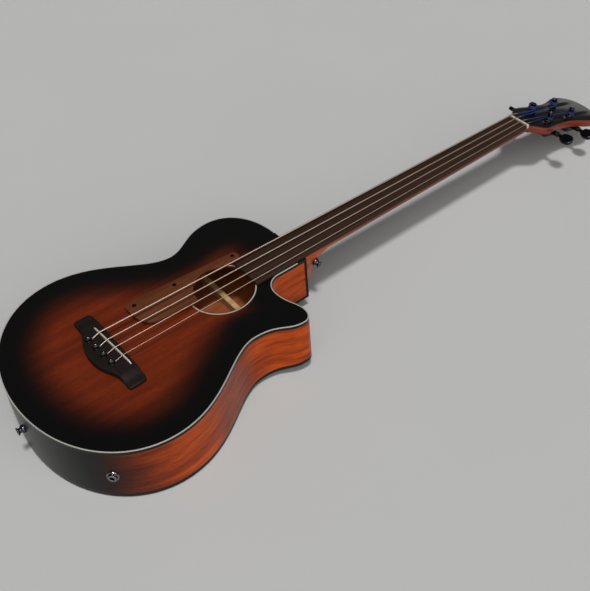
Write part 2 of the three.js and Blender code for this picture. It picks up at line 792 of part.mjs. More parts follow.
// Braces under the top: a bar with its ends tapered, hung from the soundboard and ending at the linings
const inside_linings = bodyPrism(lining_reach + seat_gap, 0, top_z);
function topBrace(x, y, angle, rear, front) {
	const high = top_under - seat_gap;
	const low = high - brace_height;
	const tip = high - brace_tip_height;
	const bar = alongY([
		at(-rear, high), at(-rear, tip), at(brace_taper - rear, low),
		at(front - brace_taper, low), at(front, tip), at(front, high),
	], -half(brace_width), half(brace_width));
	return solidOf(bar.rotateZ(radians(angle)).translate(x, y, 0)).intersect(inside_linings);
}
const lap_middle = top_under - seat_gap - half(brace_height);
const lap_half = half(brace_width) / Math.cos(radians(x_brace_angle)) + brace_width;
const lapSpace = (low, high) => solidOf(block(
	x_brace_cross_x - lap_half, x_brace_cross_x + lap_half, -lap_half, lap_half, low, high));
const x_bar_bass = topBrace(x_brace_cross_x, 0, x_brace_angle, x_brace_rear, x_brace_front);
const x_bar_treble = topBrace(x_brace_cross_x, 0, -x_brace_angle, x_brace_rear, x_brace_front);
const wide_bar_bass = solidOf(block(
	-lap_half, lap_half, -half(brace_width) - seat_gap, half(brace_width) + seat_gap, 0, top_z)
	.rotateZ(radians(x_brace_angle)).translate(x_brace_cross_x, 0, 0));
const wide_bar_treble = solidOf(block(
	-lap_half, lap_half, -half(brace_width) - seat_gap, half(brace_width) + seat_gap, 0, top_z)
	.rotateZ(radians(-x_brace_angle)).translate(x_brace_cross_x, 0, 0));
piece('brace_x_bass', geometryOf(x_bar_bass.subtract(
	wide_bar_treble.intersect(lapSpace(lap_middle - half(seat_gap), top_z)))), spruce);
piece('brace_x_treble', geometryOf(x_bar_treble.subtract(
	wide_bar_bass.intersect(lapSpace(0, lap_middle + half(seat_gap))))), spruce);
piece('upper_brace', geometryOf(topBrace(
	upper_brace_x, 0, 90, upper_brace_treble, upper_brace_bass)), spruce);
piece('tone_bar', geometryOf(topBrace(
	tone_bar_setback - tail_reach, 0, tone_bar_angle, half(tone_bar_length), half(tone_bar_length))), spruce);

// Braces across the back, between the linings
back_brace_places.forEach((x, index) => {
	const bar = solidOf(block(
		x - half(brace_width), x + half(brace_width), -lower_bout_half, lower_bout_half, 0, top_z));
	piece(`back_brace_${index + 1}`, geometryOf(bar.intersect(inside_linings)
		.intersect(backLayer(back_top, back_top + back_brace_height))), spruce);
});

// Bridge, its plate inside the body, saddle, pickup and pins
const bridge_arc = new THREE.Path();
bridge_arc.moveTo(bridge_front, 0);
bridge_arc.lineTo(bridge_front, bridge_half - bridge_corner);
bridge_arc.quadraticCurveTo(bridge_front, bridge_half, bridge_front - bridge_corner, bridge_half);
bridge_arc.lineTo(half(bridge_corner) - bridge_wing_rear, bridge_half);
bridge_arc.quadraticCurveTo(
	-bridge_wing_rear, bridge_half, -bridge_wing_rear, bridge_half - half(bridge_corner));
bridge_arc.lineTo(-bridge_wing_rear, bridge_belly_half);
bridge_arc.bezierCurveTo(
	-bridge_wing_rear, bridge_belly_half * (1 - belly_shares[0]), -bridge_belly_rear,
	bridge_belly_half * belly_shares[1], -bridge_belly_rear, 0);
const bridge_bass_half = bridge_arc.getPoints(5).slice(1);
const bridge_outline = [
	...bridge_bass_half.slice(0, -1),
	...bridge_bass_half.map((point) => at(point.x, -point.y)).reverse(),
];
const bridge_low = top_z + seat_gap;
const bridge_top = top_z + bridge_thickness;
const bridge_wing_top = top_z + bridge_wing_thickness;
const bridge_side = alongX([
	at(-bridge_half - overrun, bridge_low), at(bridge_half + overrun, bridge_low),
	at(bridge_half + overrun, bridge_wing_top), at(bridge_scoop_to, bridge_wing_top),
	at(bridge_scoop_from, bridge_top), at(-bridge_scoop_from, bridge_top),
	at(-bridge_scoop_to, bridge_wing_top), at(-bridge_half - overrun, bridge_wing_top),
], -2 * bridge_belly_rear, 2 * bridge_front);
const slot_floor = bridge_top - saddle_slot_depth;
const slantedBar = (length, thickness, low, high) => block(
	-half(thickness), half(thickness), -half(length), half(length), low, high).rotateZ(radians(saddle_slant));
const saddle_slot = solidOf(slantedBar(
	saddle_length + 2 * seat_gap, saddle_thickness + 2 * seat_gap, slot_floor, bridge_top + overrun));
piece('bridge', geometryOf(cutBy(
	solidOf(prism(bridge_outline, top_z, bridge_top + overrun)).intersect(solidOf(bridge_side)),
	[saddle_slot, ...through_bridge])), walnut);
const pickup_low = slot_floor + seat_gap;
const saddle_low = pickup_low + pickup_thickness + seat_gap;
piece('pickup_strip', slantedBar(
	saddle_length, saddle_thickness, pickup_low, pickup_low + pickup_thickness), steel);
const saddle_half = half(saddle_length);
piece('saddle', alongX([
	at(-saddle_half, saddle_low), at(saddle_half, saddle_low), at(saddle_half, bridge_top),
	at(saddle_half - saddle_shoulder, saddle_top), at(saddle_shoulder - saddle_half, saddle_top),
	at(-saddle_half, bridge_top),
], -half(saddle_thickness), half(saddle_thickness)).rotateZ(radians(saddle_slant)), bone);
piece('bridge_plate', geometryOf(cutBy(solidOf(block(
	-bridge_plate_rear, bridge_plate_front, -bridge_plate_half, bridge_plate_half,
	top_under - seat_gap - bridge_plate_thickness, top_under - seat_gap)), through_bridge)), spruce);
const pin_foot = bridge_top - pin_length;
const pin_profile = [
	[0, pin_foot], [pin_tip_radius, pin_foot],
	[pin_radius, bridge_top], [pin_neck_radius, bridge_top + seat_gap],
];
for (let step = 1; step <= pin_head_steps; step += 1) {
	const angle = Math.PI * (1 - step / pin_head_steps);
	const rise = bridge_top + seat_gap + pin_head_radius * (1 + Math.cos(angle));
	pin_profile.push([step === pin_head_steps ? 0 : pin_head_radius * Math.sin(angle), rise]);
}
saddle_y.forEach((y, index) => {
	const pin = piece(string_names[index].replace('string', 'bridge_pin'), turned(pin_profile), black_plastic);
	pin.position.set(pinX(y), y, 0);
});

// Finger rest on three feet, cut back round the sound hole
const rest_shape = new THREE.Path();
rest_shape.moveTo(rest_head_x - rest_corner, rest_head_half);
rest_shape.lineTo(rest_tail_x + rest_corner, rest_tail_half);
rest_shape.quadraticCurveTo(rest_tail_x, rest_tail_half, rest_tail_x, rest_tail_half - rest_corner);
rest_shape.lineTo(rest_tail_x, rest_inner_y);
rest_shape.quadraticCurveTo(
	rest_tail_x + half(rest_corner), half(rest_corner), rest_low_tail_x, -half(rest_low_y));
rest_shape.lineTo(rest_low_x, rest_low_y);
rest_shape.lineTo(hole_x, rest_low_y);
rest_shape.lineTo(hole_x, rest_inner_y);
rest_shape.lineTo(rest_head_x - half(rest_corner), rest_inner_y);
rest_shape.quadraticCurveTo(rest_head_x, rest_inner_y, rest_head_x, rest_inner_y + half(rest_corner));
rest_shape.quadraticCurveTo(rest_head_x, rest_head_half, rest_head_x - rest_corner, rest_head_half);
const rest_plate = solidOf(prism(rest_shape.getPoints(4).slice(1), rest_low_z, rest_low_z + rest_thickness));
const rest_hole = solidOf(column(hole_x, 0, rest_hole_radius, top_z, top_z + body_depth, hole_sides));
const rest_feet = rest_screw_places.map((place) => solidOf(column(
	place.x, place.y, rest_foot_radius, top_z + seat_gap, rest_low_z + half(rest_thickness))));
piece('finger_rest', geometryOf(cutBy(
	joined([rest_plate.subtract(rest_hole), ...rest_feet]), rest_screw_holes)), rest_walnut);
const rest_screw_shape = turned([
	[0, top_under + seat_gap], [rest_screw_radius, top_under + 2 * rest_screw_radius],
	[rest_screw_radius, rest_top + seat_gap], [rest_screw_head, rest_top + seat_gap],
	[half(rest_screw_head), rest_top + seat_gap + rest_screw_head_height],
	[0, rest_top + seat_gap + rest_screw_head_height],
], 10);
rest_screw_places.forEach((place, index) => {
	piece(`finger_rest_screw_${index + 1}`, rest_screw_shape, black_chrome).position.set(place.x, place.y, 0);
});

// Fretboard: fretless, cambered, tapering to the nut
function boardRing(x) {
	const edge = boardHalf(x);
	const ring = [new THREE.Vector3(x, edge, boardUnder(x)), new THREE.Vector3(x, -edge, boardUnder(x))];
	for (let step = -4; step <= 4; step += 1) {
		const y = edge * step / 4;
		ring.push(new THREE.Vector3(x, y, boardTop(x) - board_radius + Math.sqrt(board_radius ** 2 - y ** 2)));
	}
	return ring;
}
piece('fretboard', loft([boardRing(board_end_x), boardRing(joint_x), boardRing(nut_x)]), walnut);

// Nut with a slot under each string
const nut_low = neckTop(nut_x + nut_length) + seat_gap;
const nut_top = boardTop(nut_x) + nut_rise;
const nut_front = nut_x + seat_gap;
const nut_slots = nut_y.map((y, index) => {
	const reach = half(string_diameters[index]) + seat_gap;
	return solidOf(block(
		nut_front - overrun, nut_front + nut_length + overrun, y - reach, y + reach,
		boardTop(nut_x) + string_rise_nut - seat_gap, nut_top + overrun));
});
piece('nut', geometryOf(cutBy(solidOf(alongY([
	at(nut_front, nut_low), at(nut_front + nut_length, nut_low),
	at(nut_front + nut_length, nut_top - half(nut_rise)),
	at(nut_front + half(nut_length), nut_top), at(nut_front, nut_top),
], -board_half_nut, board_half_nut)), nut_slots)), bone);

// Neck: shaft, heel, tenon and headstock of one piece of wood
const headFace = (x) => head.position.z - (x - head.position.x) * Math.tan(head.rotation.y);
const woodFace = (x) => headFace(x) + wood_face / Math.cos(head.rotation.y);
const woodBack = (x) => headFace(x) + wood_back / Math.cos(head.rotation.y);
const neck_start = joint_x + seat_gap;
const shaftDepth = (x) => THREE.MathUtils.mapLinear(x, neck_start, nut_x, neck_depth_heel, neck_depth_nut);
const shaft_end = (woodBack(0) - neckTop(0) + shaftDepth(nut_x)) / (Math.tan(head.rotation.y) - board_slope);
function shaftRing(x) {
	const high = Math.min(neckTop(x), woodFace(x));
	const low = neckTop(x) - shaftDepth(Math.min(x, nut_x));
	const ring = [];
	for (let side = 0; side <= neck_sides; side += 1) {
		const angle = Math.PI * side / neck_sides;
		const half_width = boardHalf(Math.min(x, nut_x)) * Math.cos(angle);
		ring.push(new THREE.Vector3(x, half_width, high - (high - low) * Math.sin(angle) ** shaft_roundness_share));
	}
	return ring;
}
const shaft_stations = [0, 0.2, 0.5, 1].map((share) => THREE.MathUtils.lerp(neck_start, nut_x, share));
const shaft = solidOf(loft([...shaft_stations, head.position.x, shaft_end].map(shaftRing)));
const heel_low = backHeight(joint_x, 0) + heel_cap_thickness + seat_gap;
const heel_top = neckTop(joint_x) - heel_drop;
const heel_line = new THREE.CatmullRomCurve3(heel_drop_shares.map((drop_share, index) => new THREE.Vector3(
	heel_run * heel_reach_shares[index], boardHalf(neck_start) * heel_half_shares[index],
	THREE.MathUtils.lerp(heel_top, backHeight(joint_x, 0), drop_share))));
function heelRing(reach, half_width, z) {
	const ring = [];
	for (let side = 0; side <= heel_sides; side += 1) {
		const angle = Math.PI * side / heel_sides - half(Math.PI);
		ring.push(new THREE.Vector3(neck_start + reach * Math.cos(angle), half_width * Math.sin(angle), z));
	}
	return ring;
}
const heel_rings = [];
for (let level = heel_levels; level >= 0; level -= 1) {
	const place = heel_line.getPoint(level / heel_levels);
	heel_rings.push(heelRing(place.x, place.y, place.z));
}
heel_rings.push(heelRing(heel_run * heel_top_share, boardHalf(neck_start), neckTop(neck_start + heel_run)));
const heel_whole = solidOf(loft(heel_rings));
const under_heel = (low, high) => solidOf(block(
	neck_start - overrun, joint_x + heel_run + overrun, -board_half_end, board_half_end, low, high));
const heel = heel_whole.intersect(under_heel(heel_low, top_z));
const tenon = solidOf(block(
	joint_x - tenon_length, neck_start + overrun, -tenon_half, tenon_half,
	top_z - tenon_depth, top_under - seat_gap));

const head_nut = at(0, board_half_nut);
const head_ear = at(head_ear_s, head_ear_half);
const head_waist = at(head_waist_s, head_waist_half);
const head_tip = at(head_tip_s, head_tip_half);
const head_end = at(head_end_s, head_end_y);
const mirrored = (point) => at(point.x, -point.y);
const head_outline = facetPoints([
	ease(head_nut, head_ear, 'x', 'x', head_ear_shares),
	ease(head_ear, head_waist, 'x', 'x', head_side_shares),
	ease(head_waist, head_tip, 'x', 'x', head_tip_shares),
	ease(head_tip, head_end, 'x', 'y', head_end_shares),
	ease(head_end, mirrored(head_tip), 'y', 'x', [...head_end_shares].reverse()),
	ease(mirrored(head_tip), mirrored(head_waist), 'x', 'x', [...head_tip_shares].reverse()),
	ease(mirrored(head_waist), mirrored(head_ear), 'x', 'x', [...head_side_shares].reverse()),
	ease(mirrored(head_ear), mirrored(head_nut), 'x', 'x', [...head_ear_shares].reverse()),
	new THREE.LineCurve(mirrored(head_nut), head_nut),
]);
const bushing_holes = posts.map((post) => solidOf(column(
	post.s, post.y, bushing_radius + pin_gap, wood_back - overrun, overrun)));
const head_wood = geometryOf(cutBy(solidOf(prism(head_outline, wood_back, wood_face)), bushing_holes));
const head_wood_placed = solidOf(head_wood.applyMatrix4(head.matrix));
const behind_nut = solidOf(block(
	0, nut_front + nut_length + seat_gap, -2 * head_tip_half, 2 * head_tip_half, neckTop(nut_x), top_z));
const rod_start = joint_x - tenon_length + seat_gap;
const rod_stop = nut_x - rod_end_setback;
function rodBar(grow) {
	return loft([rod_start - grow, joint_x, rod_stop + grow].map((x) => {
		const high = Math.min(neckTop(x), top_under) - 2 * seat_gap + 4 * grow;
		const low = neckTop(x) - rod_depth - grow;
		return [[1, low], [-1, low], [-1, high], [1, high]].map(([side, z]) => (
			new THREE.Vector3(x, side * (half(rod_width) + grow), z)));
	}));
}
const heel_button_z = top_z - heel_button_drop;
const heel_points = heel_line.getPoints(fine_steps);
function heelFlank(x, z) {
	const lower = heel_points.findIndex((point) => point.z < z);
	const [above, below] = [heel_points[lower - 1], heel_points[lower]];
	const level = above.clone().lerp(below, (above.z - z) / (above.z - below.z));
	return level.y * Math.sqrt(1 - ((x - neck_start) / level.x) ** 2);
}
const heelSlope = (x_step, z_step) => (
	heelFlank(heel_button_x - x_step, heel_button_z - z_step)
	- heelFlank(heel_button_x + x_step, heel_button_z + z_step)) / (2 * button_base_radius);
const heel_outward = new THREE.Vector3(
	heelSlope(button_base_radius, 0), -1, heelSlope(0, button_base_radius)).normalize();
const heel_button = new THREE.Group();
heel_button.position.set(heel_button_x, -heelFlank(heel_button_x, heel_button_z), heel_button_z)
	.addScaledVector(heel_outward, heel_button_lift);
heel_button.quaternion.setFromUnitVectors(new THREE.Vector3(0, 0, 1), heel_outward);
heel_button.updateMatrix();
model.add(heel_button);
const heel_screw_hole = solidOf(column(
	0, 0, button_screw_radius + pin_gap, -button_screw_length - 2 * button_screw_radius, overrun)
	.applyMatrix4(heel_button.matrix));
piece('neck', geometryOf(cutBy(
	joined([shaft, heel, tenon, head_wood_placed.subtract(behind_nut)]),
	[solidOf(rodBar(seat_gap)), heel_screw_hole])), neck_mahogany);
piece('truss_rod', rodBar(0), steel);
piece('heel_cap', geometryOf(heel_whole.intersect(
	under_heel(backHeight(joint_x, 0), heel_low - seat_gap))), black_plastic);
piece('headstock_veneer', geometryOf(cutBy(
	solidOf(prism(head_outline, -veneer_thickness, 0)), bushing_holes)), black_lacquer, head);

// Strap buttons, each with its own wood screw
const button_shape = turned([
	[0, -button_screw_length - button_screw_radius], [button_screw_radius, -button_screw_length],
	[button_screw_radius, seat_gap], [button_base_radius, seat_gap], [button_base_radius, 2 * button_flange],
	[button_waist_radius, half(button_height)], [button_waist_radius, button_height - 2 * button_flange],
	[button_flange_radius, button_height - button_flange], [button_flange_radius, button_height],
	[0, button_height],
]);
piece('strap_button_heel', button_shape, chrome, heel_button);
const tail_button = new THREE.Group();
tail_button.position.set(-tail_reach, 0, top_z - tail_button_drop);
tail_button.rotation.y = -half(Math.PI);
model.add(tail_button);
piece('strap_button_tail', button_shape, chrome, tail_button);

// Output jack: a barrel with its flange outside and a nut inside the wall
const jack_shape = solidOf(turned([
	[0, jack_collar + jack_flange - jack_length],
	[jack_barrel_radius, jack_collar + jack_flange - jack_length], [jack_barrel_radius, seat_gap],
	[jack_flange_radius, seat_gap], [jack_flange_radius, seat_gap + jack_flange],
	[jack_collar_radius, seat_gap + jack_flange], [jack_collar_radius, jack_flange + jack_collar],
	[0, jack_flange + jack_collar],
], 16));
const jack_bore = solidOf(column(0, 0, jack_bore_radius,
	jack_flange + jack_collar - jack_bore_depth, jack_flange + jack_collar + overrun));
piece('output_jack', geometryOf(jack_shape.subtract(jack_bore)), chrome, jack);
const nut_inside = -side_thickness - 2 * seat_gap;
piece('jack_nut', geometryOf(solidOf(column(
	0, 0, jack_nut_radius, nut_inside - jack_nut_height, nut_inside, 6)).subtract(solidOf(column(
	0, 0, jack_barrel_radius + pin_gap, nut_inside - 2 * jack_nut_height, overrun)))), steel, jack);

// Tuners: each housing holds a gear on the string post and a worm on the knob's shaft
const housing_top = wood_back - seat_gap;
const housing_low = housing_top - housing_depth;
const gear_middle = housing_top - half(housing_depth - housing_wall);
const room_front = gear_tip_radius + housing_room;
const room_rear = worm_centre + worm_tip_radius + housing_room;
const room_side = gear_tip_radius + housing_room;
function roundedBox(s_low, s_high, y_low, y_high, corner, low, high) {
	const shape = new THREE.Shape();
	shape.moveTo(s_low + corner, y_low);
	shape.lineTo(s_high - corner, y_low);
	shape.quadraticCurveTo(s_high, y_low, s_high, y_low + corner);
	shape.lineTo(s_high, y_high - corner);
	shape.quadraticCurveTo(s_high, y_high, s_high - corner, y_high);
	shape.lineTo(s_low + corner, y_high);
	shape.quadraticCurveTo(s_low, y_high, s_low, y_high - corner);
	shape.lineTo(s_low, y_low + corner);
	shape.quadraticCurveTo(s_low, y_low, s_low + corner, y_low);
	return prism(shape.getPoints(3).slice(1), low, high);
}
const housingBox = (grow, corner, low, high) => roundedBox(
	-room_rear - grow, room_front + grow, -room_side - grow, room_side + grow, corner, low, high);
function sideColumn(side, radius, from, to) {
	const geometry = new THREE.CylinderGeometry(radius, radius, to - from, round_sides);
	return geometry.translate(-worm_centre, side * half(from + to), gear_middle);
}
const barrel_end = barrel_reach - post_y;
function housingShape(side) {
	const room = housingBox(
		0, housing_corner - housing_wall, housing_low + housing_wall, housing_top + overrun);
	const shell = solidOf(housingBox(housing_wall, housing_corner, housing_low, housing_top))
		.subtract(solidOf(room));
	const barrel = sideColumn(side, barrel_radius, room_side + half(housing_wall), barrel_end);
	const bore = sideColumn(side, knob_shaft_radius + turning_gap, 0, barrel_end + overrun);
	return cutBy(joined([shell, solidOf(barrel)]), [
		solidOf(bore),
		solidOf(column(0, 0, post_shaft_radius + turning_gap, housing_low - overrun, housing_top)),
	]);
}
function gearOutline() {
	const points = [];
	for (let tooth = 0; tooth < gear_teeth; tooth += 1) {
		const middle = Math.PI + 2 * Math.PI * tooth / gear_teeth;
		const pitch = 2 * Math.PI / gear_teeth;
		for (const [radius, shift_share] of [
			[gear_root_radius, -half(tooth_root_share)], [gear_tip_radius, -half(tooth_tip_share)],
			[gear_tip_radius, half(tooth_tip_share)], [gear_root_radius, half(tooth_root_share)],
		]) {
			const angle = middle + pitch * shift_share;
			points.push(at(radius * Math.cos(angle), radius * Math.sin(angle)));
		}
	}
	return points;
}
function postShape() {
	const low = housing_low;
	const stem = turned([
		[0, low], [post_shaft_radius, low], [post_shaft_radius, post_foot_rise],
		[post_foot_radius, post_foot_rise], [post_waist_radius, winding_foot],
		[post_waist_radius, post_rise - post_slot_depth], [post_top_radius, post_rise - half(post_slot_depth)],
		[post_top_radius, post_rise], [0, post_rise],
	]);
	const gear = prism(gearOutline(), gear_middle - half(gear_width), gear_middle + half(gear_width));
	const slot = block(
		-half(post_slot_width), half(post_slot_width), -2 * post_top_radius, 2 * post_top_radius,
		post_rise - post_slot_depth, post_rise + overrun);
	return joined([solidOf(stem), solidOf(gear)]).subtract(solidOf(slot));
}
function wormThread() {
	const rings = [];
	const steps = worm_turns * worm_steps;
	for (let step = 0; step <= steps; step += 1) {
		const turn = step / worm_steps - half(worm_turns);
		const angle = 2 * Math.PI * (turn - half(1));
		const spoke = (radius, y) => new THREE.Vector3(
			radius * Math.cos(angle), y + lead * turn, -radius * Math.sin(angle));
		const inside = worm_shaft_radius * Math.cos(Math.PI / round_sides) - half(seat_gap);
		rings.push([
			spoke(inside, -worm_root_half), spoke(worm_tip_radius, -worm_tip_half),
			spoke(worm_tip_radius, worm_tip_half), spoke(inside, worm_root_half),
		]);
	}
	return loft(rings);
}
function knobShape(side) {
	const collar_from = barrel_end + turning_gap;
	const stem_from = collar_from + knob_collar_length;
	const key_from = stem_from + knob_stem_length;
	const worm_end = room_side - turning_gap;
	const bevel = knob_thickness / 4;
	const shaft = turned([
		[0, -worm_end], [worm_shaft_radius, -worm_end],
		[worm_shaft_radius, worm_end], [knob_shaft_radius, worm_end],
		[knob_shaft_radius, collar_from], [knob_collar_radius, collar_from], [knob_collar_radius, stem_from],
		[knob_stem_radius, stem_from], [knob_stem_radius, key_from + bevel], [0, key_from + bevel],
	]).rotateX(-half(Math.PI));
	const key = new THREE.Shape();
	key.moveTo(-knob_waist_half, 0);
	key.quadraticCurveTo(-knob_half_width, knob_length * half(half(1)), -knob_half_width, half(knob_length));
	key.quadraticCurveTo(-knob_half_width, knob_length, 0, knob_length);
	key.quadraticCurveTo(knob_half_width, knob_length, knob_half_width, half(knob_length));
	key.quadraticCurveTo(knob_half_width, knob_length * half(half(1)), knob_waist_half, 0);
	const key_body = new THREE.ExtrudeGeometry(key, {
		depth: knob_thickness - 2 * bevel, bevelThickness: bevel, bevelSize: bevel, bevelOffset: -bevel,
		bevelSegments: 1, curveSegments: 4,
	}).translate(0, key_from - bevel, bevel - half(knob_thickness));
	key_body.translate(0, -key_from, 0).rotateY(radians(knob_turn)).translate(0, key_from, 0);
	const turn = side > 0 ? 0 : Math.PI;
	return joined([solidOf(shaft.rotateZ(turn)), solidOf(key_body.rotateZ(turn)), solidOf(wormThread())]);
}
const post_shape = geometryOf(postShape());
const bushing_top = seat_gap + bushing_flange;
const bushing_bore = column(
	0, 0, post_shaft_radius + bushing_bore_gap, -2 * bushing_length, 2 * bushing_length);
const bushing_shape = geometryOf(joined([
	solidOf(column(0, 0, bushing_radius, bushing_top - bushing_length, bushing_top)),
	solidOf(column(0, 0, bushing_flange_radius, seat_gap, bushing_top, 6)),
]).subtract(solidOf(bushing_bore)));
posts.forEach((post, index) => {
	const number = index + 1;
	const mount = new THREE.Group();
	mount.position.set(post.s, post.y, 0);
	mount.rotation.z = Math.PI;
	head.add(mount);
	piece(`tuner_housing_${number}`, geometryOf(housingShape(-post.side)), black_chrome, mount);
	piece(`tuner_post_${number}`, post_shape, chrome, mount);
	const knob_mount = new THREE.Group();
	knob_mount.position.set(-worm_centre, 0, gear_middle);
	mount.add(knob_mount);
	piece(`tuner_knob_${number}`, geometryOf(knobShape(-post.side)), black_plastic, knob_mount);
	piece(`tuner_bushing_${number}`, bushing_shape, chrome, mount);
});

export default model;
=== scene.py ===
import math

import bmesh
import bpy
from mathutils import Matrix, Vector
from mathutils.kdtree import KDTree


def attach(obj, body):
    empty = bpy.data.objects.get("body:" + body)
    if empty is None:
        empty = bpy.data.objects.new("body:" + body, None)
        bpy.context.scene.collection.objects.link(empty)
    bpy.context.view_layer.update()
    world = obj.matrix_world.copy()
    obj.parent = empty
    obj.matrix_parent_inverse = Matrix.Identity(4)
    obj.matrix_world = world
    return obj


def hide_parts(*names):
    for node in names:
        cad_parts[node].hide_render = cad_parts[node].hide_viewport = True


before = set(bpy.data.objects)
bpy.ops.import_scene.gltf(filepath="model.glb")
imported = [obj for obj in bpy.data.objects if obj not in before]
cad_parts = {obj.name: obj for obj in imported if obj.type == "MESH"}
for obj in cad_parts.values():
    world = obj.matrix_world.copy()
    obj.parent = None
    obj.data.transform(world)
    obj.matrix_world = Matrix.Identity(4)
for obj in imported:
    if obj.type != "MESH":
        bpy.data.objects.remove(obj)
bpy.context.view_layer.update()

# Fretless acoustic bass guitar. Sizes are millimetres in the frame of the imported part:
# +X from the tail to the headstock, +Y to the side of the lowest string, +Z out of the top.
MM = 0.001
seat_gap, pin_gap, turning_gap = 0.3, 0.3, 0.35
scale_length = 812.8

# Outline of the body: its wide and narrow places, and how far each curve's handles reach
tail_reach, lower_bout_x, lower_bout_half = 153.3, -6.9, 183.2
waist_x, waist_half = 164.9, 111.5
upper_bout_x, upper_bout_half = 249.6, 140.8
joint_x, shoulder_half = 319.5, 48.6
horn_x, horn_half, horn_tip_x, horn_tip_half = 237.4, 133.6, 252.0, 113.8
cutaway_x, cutaway_half = 240.3, 60.2
cutaway_end_x, cutaway_end_half = 266.6, 31.1
tail_shares, hip_shares = (0.555, 0.59), (0.463, 0.259)
chest_shares, shoulder_shares = (0.303, 0.493), (0.65, 0.512)
horn_back_shares, horn_nose_shares = (0.574, 0.414), (0.53, 0.61)
cutaway_shares, cutaway_heel_shares = (0.35, 0.485), (0.553, 0.615)

# Body
body_depth = 101.0
tail_rise, tail_rise_from, neck_rise, neck_rise_from = 3.0, 20.0, 20.0, 60.0
cross_arch_radius, arch_step = 6000.0, 40.0
top_thickness, back_thickness, side_thickness = 3.0, 3.0, 2.5
binding_width, binding_height, cream_width, cream_height = 2.4, 6.0, 1.7, 1.4
cream_end_x, cream_slices, binding_edge = 303.0, 3, 0.35
hole_x, hole_radius, ring_inner_radius, ring_outer_radius, ring_depth = 183.9, 49.5, 50.5, 52.5, 1.2
ring_stands_proud = 0.06
top_step, back_step, wall_rows, inside_share = 5.0, 10.0, 10, 0.46

# Bridge, saddle and pins
bridge_half, bridge_front, bridge_wing_rear = 80.5, 8.5, 20.5
bridge_belly_rear, bridge_belly_half, bridge_corner = 36.5, 64.0, 9.0
bridge_thickness, bridge_wing_thickness, bridge_scoop_from, bridge_scoop_to = 9.5, 5.0, 54.0, 70.0
bridge_edge, bridge_end_reach, bridge_end_drop = 1.5, 2.0, 1.4
bridge_end_stations = (72.5, 75, 77, 78.6, 79.6, 80.2, 80.45)
belly_shares = (0.4, 0.55)
bridge_plate_thickness = 2.5
saddle_length, saddle_thickness, saddle_slant, saddle_shoulder = 94.0, 2.0, 3.4, 5.0
saddle_end_drop, saddle_arch, saddle_steps = 2.8, 0.5, 40
saddle_edge = ((1, 0.9), (0.7, 0.25), (0, 0), (-0.7, 0.25), (-1, 0.9))
saddle_slot_depth, saddle_slot_side, saddle_slot_end = 7.0, 0.1, 0.3
pickup_thickness, string_rise_saddle = 1.4, 13.3
pin_setback, pin_radius, pin_tip_radius, pin_length = 19.0, 2.7, 2.2, 15.0
pin_neck_radius, pin_head_radius, pin_head_from = 2.1, 5.3, -360 / 7
pin_collar = ((3.4, seat_gap), (3.8, 0.7), (3.4, 1.1))

# Strings
string_names = ("string_e", "string_a", "string_d", "string_g")
string_diameters = (2.54, 2.03, 1.65, 1.14)
string_spacing_saddle, string_spacing_nut = 19.5, 11.74
string_bend, bend_share, string_bend_steps, string_sides = 3.0, 0.45, 6, 12
ball_radius, ball_length, ball_rim, ball_steps = 2.6, 4.0, 0.6, 24
winding_turns, winding_gap, winding_foot, winding_steps = 2.5, 0.5, 4.4, 36
silk_setback = 9.0

# Fretboard, nut, neck and heel
board_end_x, board_half_end, board_half_nut = 227.5, 29.7, 21.5
board_thickness, board_radius, neck_set_angle = 6.2, 400.0, 0.48
board_rim, board_steps = 0.7, 24
nut_length, nut_rise, string_rise_nut = 5.0, 2.4, 0.6
nut_back_drop, nut_flat, nut_bend_in, nut_bend_drop, nut_trim = 1.8, 1.6, 1.2, 0.4, 20.0
neck_depth_nut, neck_depth_heel, shaft_roundness_share = 14.6, 18.5, 0.85
shaft_steps, shaft_sides = 12, 32
heel_run, heel_drop, heel_top_share, heel_cap_thickness = 86.0, 12.0, 0.5, 2.5
heel_drop_shares = (0, 0.1, 0.25, 0.46, 0.69, 1)
heel_reach_shares = (1, 0.72, 0.52, 0.385, 0.315, 0.21)
heel_half_shares = (0.97, 0.91, 0.84, 0.72, 0.61, 0.5)
heel_steps = 8
tenon_half, tenon_length, tenon_depth, tenon_lap = 10.0, 16.0, 52.0, 1.0

# Headstock
head_tilt, head_face_rise, head_thickness, veneer_thickness, veneer_edge = 16.25, 1.0, 12.0, 1.5, 0.3
head_ear_s, head_ear_half, head_waist_s, head_waist_half = 31.0, 39.0, 92.0, 33.2
head_tip_s, head_tip_half, head_end_s, head_end_y = 153.0, 46.5, 187.2, 9.0
head_ear_shares, head_side_shares = (0.35, 0.35), (0.45, 0.5)
head_tip_shares, head_end_shares = (0.5, 0.3), (0.42, 0.62)

# Tuners
post_s_near, post_s_far, post_y = 55.4, 116.8, 20.0
post_shaft_radius, post_foot_radius, post_waist_radius, post_top_radius = 3.0, 4.6, 4.0, 5.0
post_foot_rise, post_rise, post_slot_width, post_slot_depth = 2.2, 15.5, 2.2, 4.0
post_rim, post_dimple = 0.6, 0.5
bushing_bore_gap, bushing_radius, bushing_length, bushing_lap = 0.35, 5.2, 9.0, 0.2
bushing_flange_radius, bushing_flange, bushing_edge = 7.6, 1.6, 0.35
gear_teeth, gear_pitch_radius, gear_root_radius, gear_tip_radius, gear_width = 15, 7.5, 6.4, 8.2, 5.0
tooth_root_share, tooth_tip_share = 0.46, 0.2
worm_shaft_radius, worm_tip_radius, worm_root_half, worm_tip_half = 2.0, 3.8, 0.62, 0.3
worm_turns, worm_steps, worm_centre, worm_seat = 2, 24, 10.5, 0.2
housing_wall, housing_depth, housing_room, housing_corner, housing_edge = 1.4, 12.0, 0.9, 4.0, 0.8
barrel_radius, barrel_reach, barrel_rim, barrel_lap = 4.6, 39.0, 0.7, 0.5
knob_shaft_radius, knob_collar_radius, knob_collar_length = 2.4, 4.6, 3.0
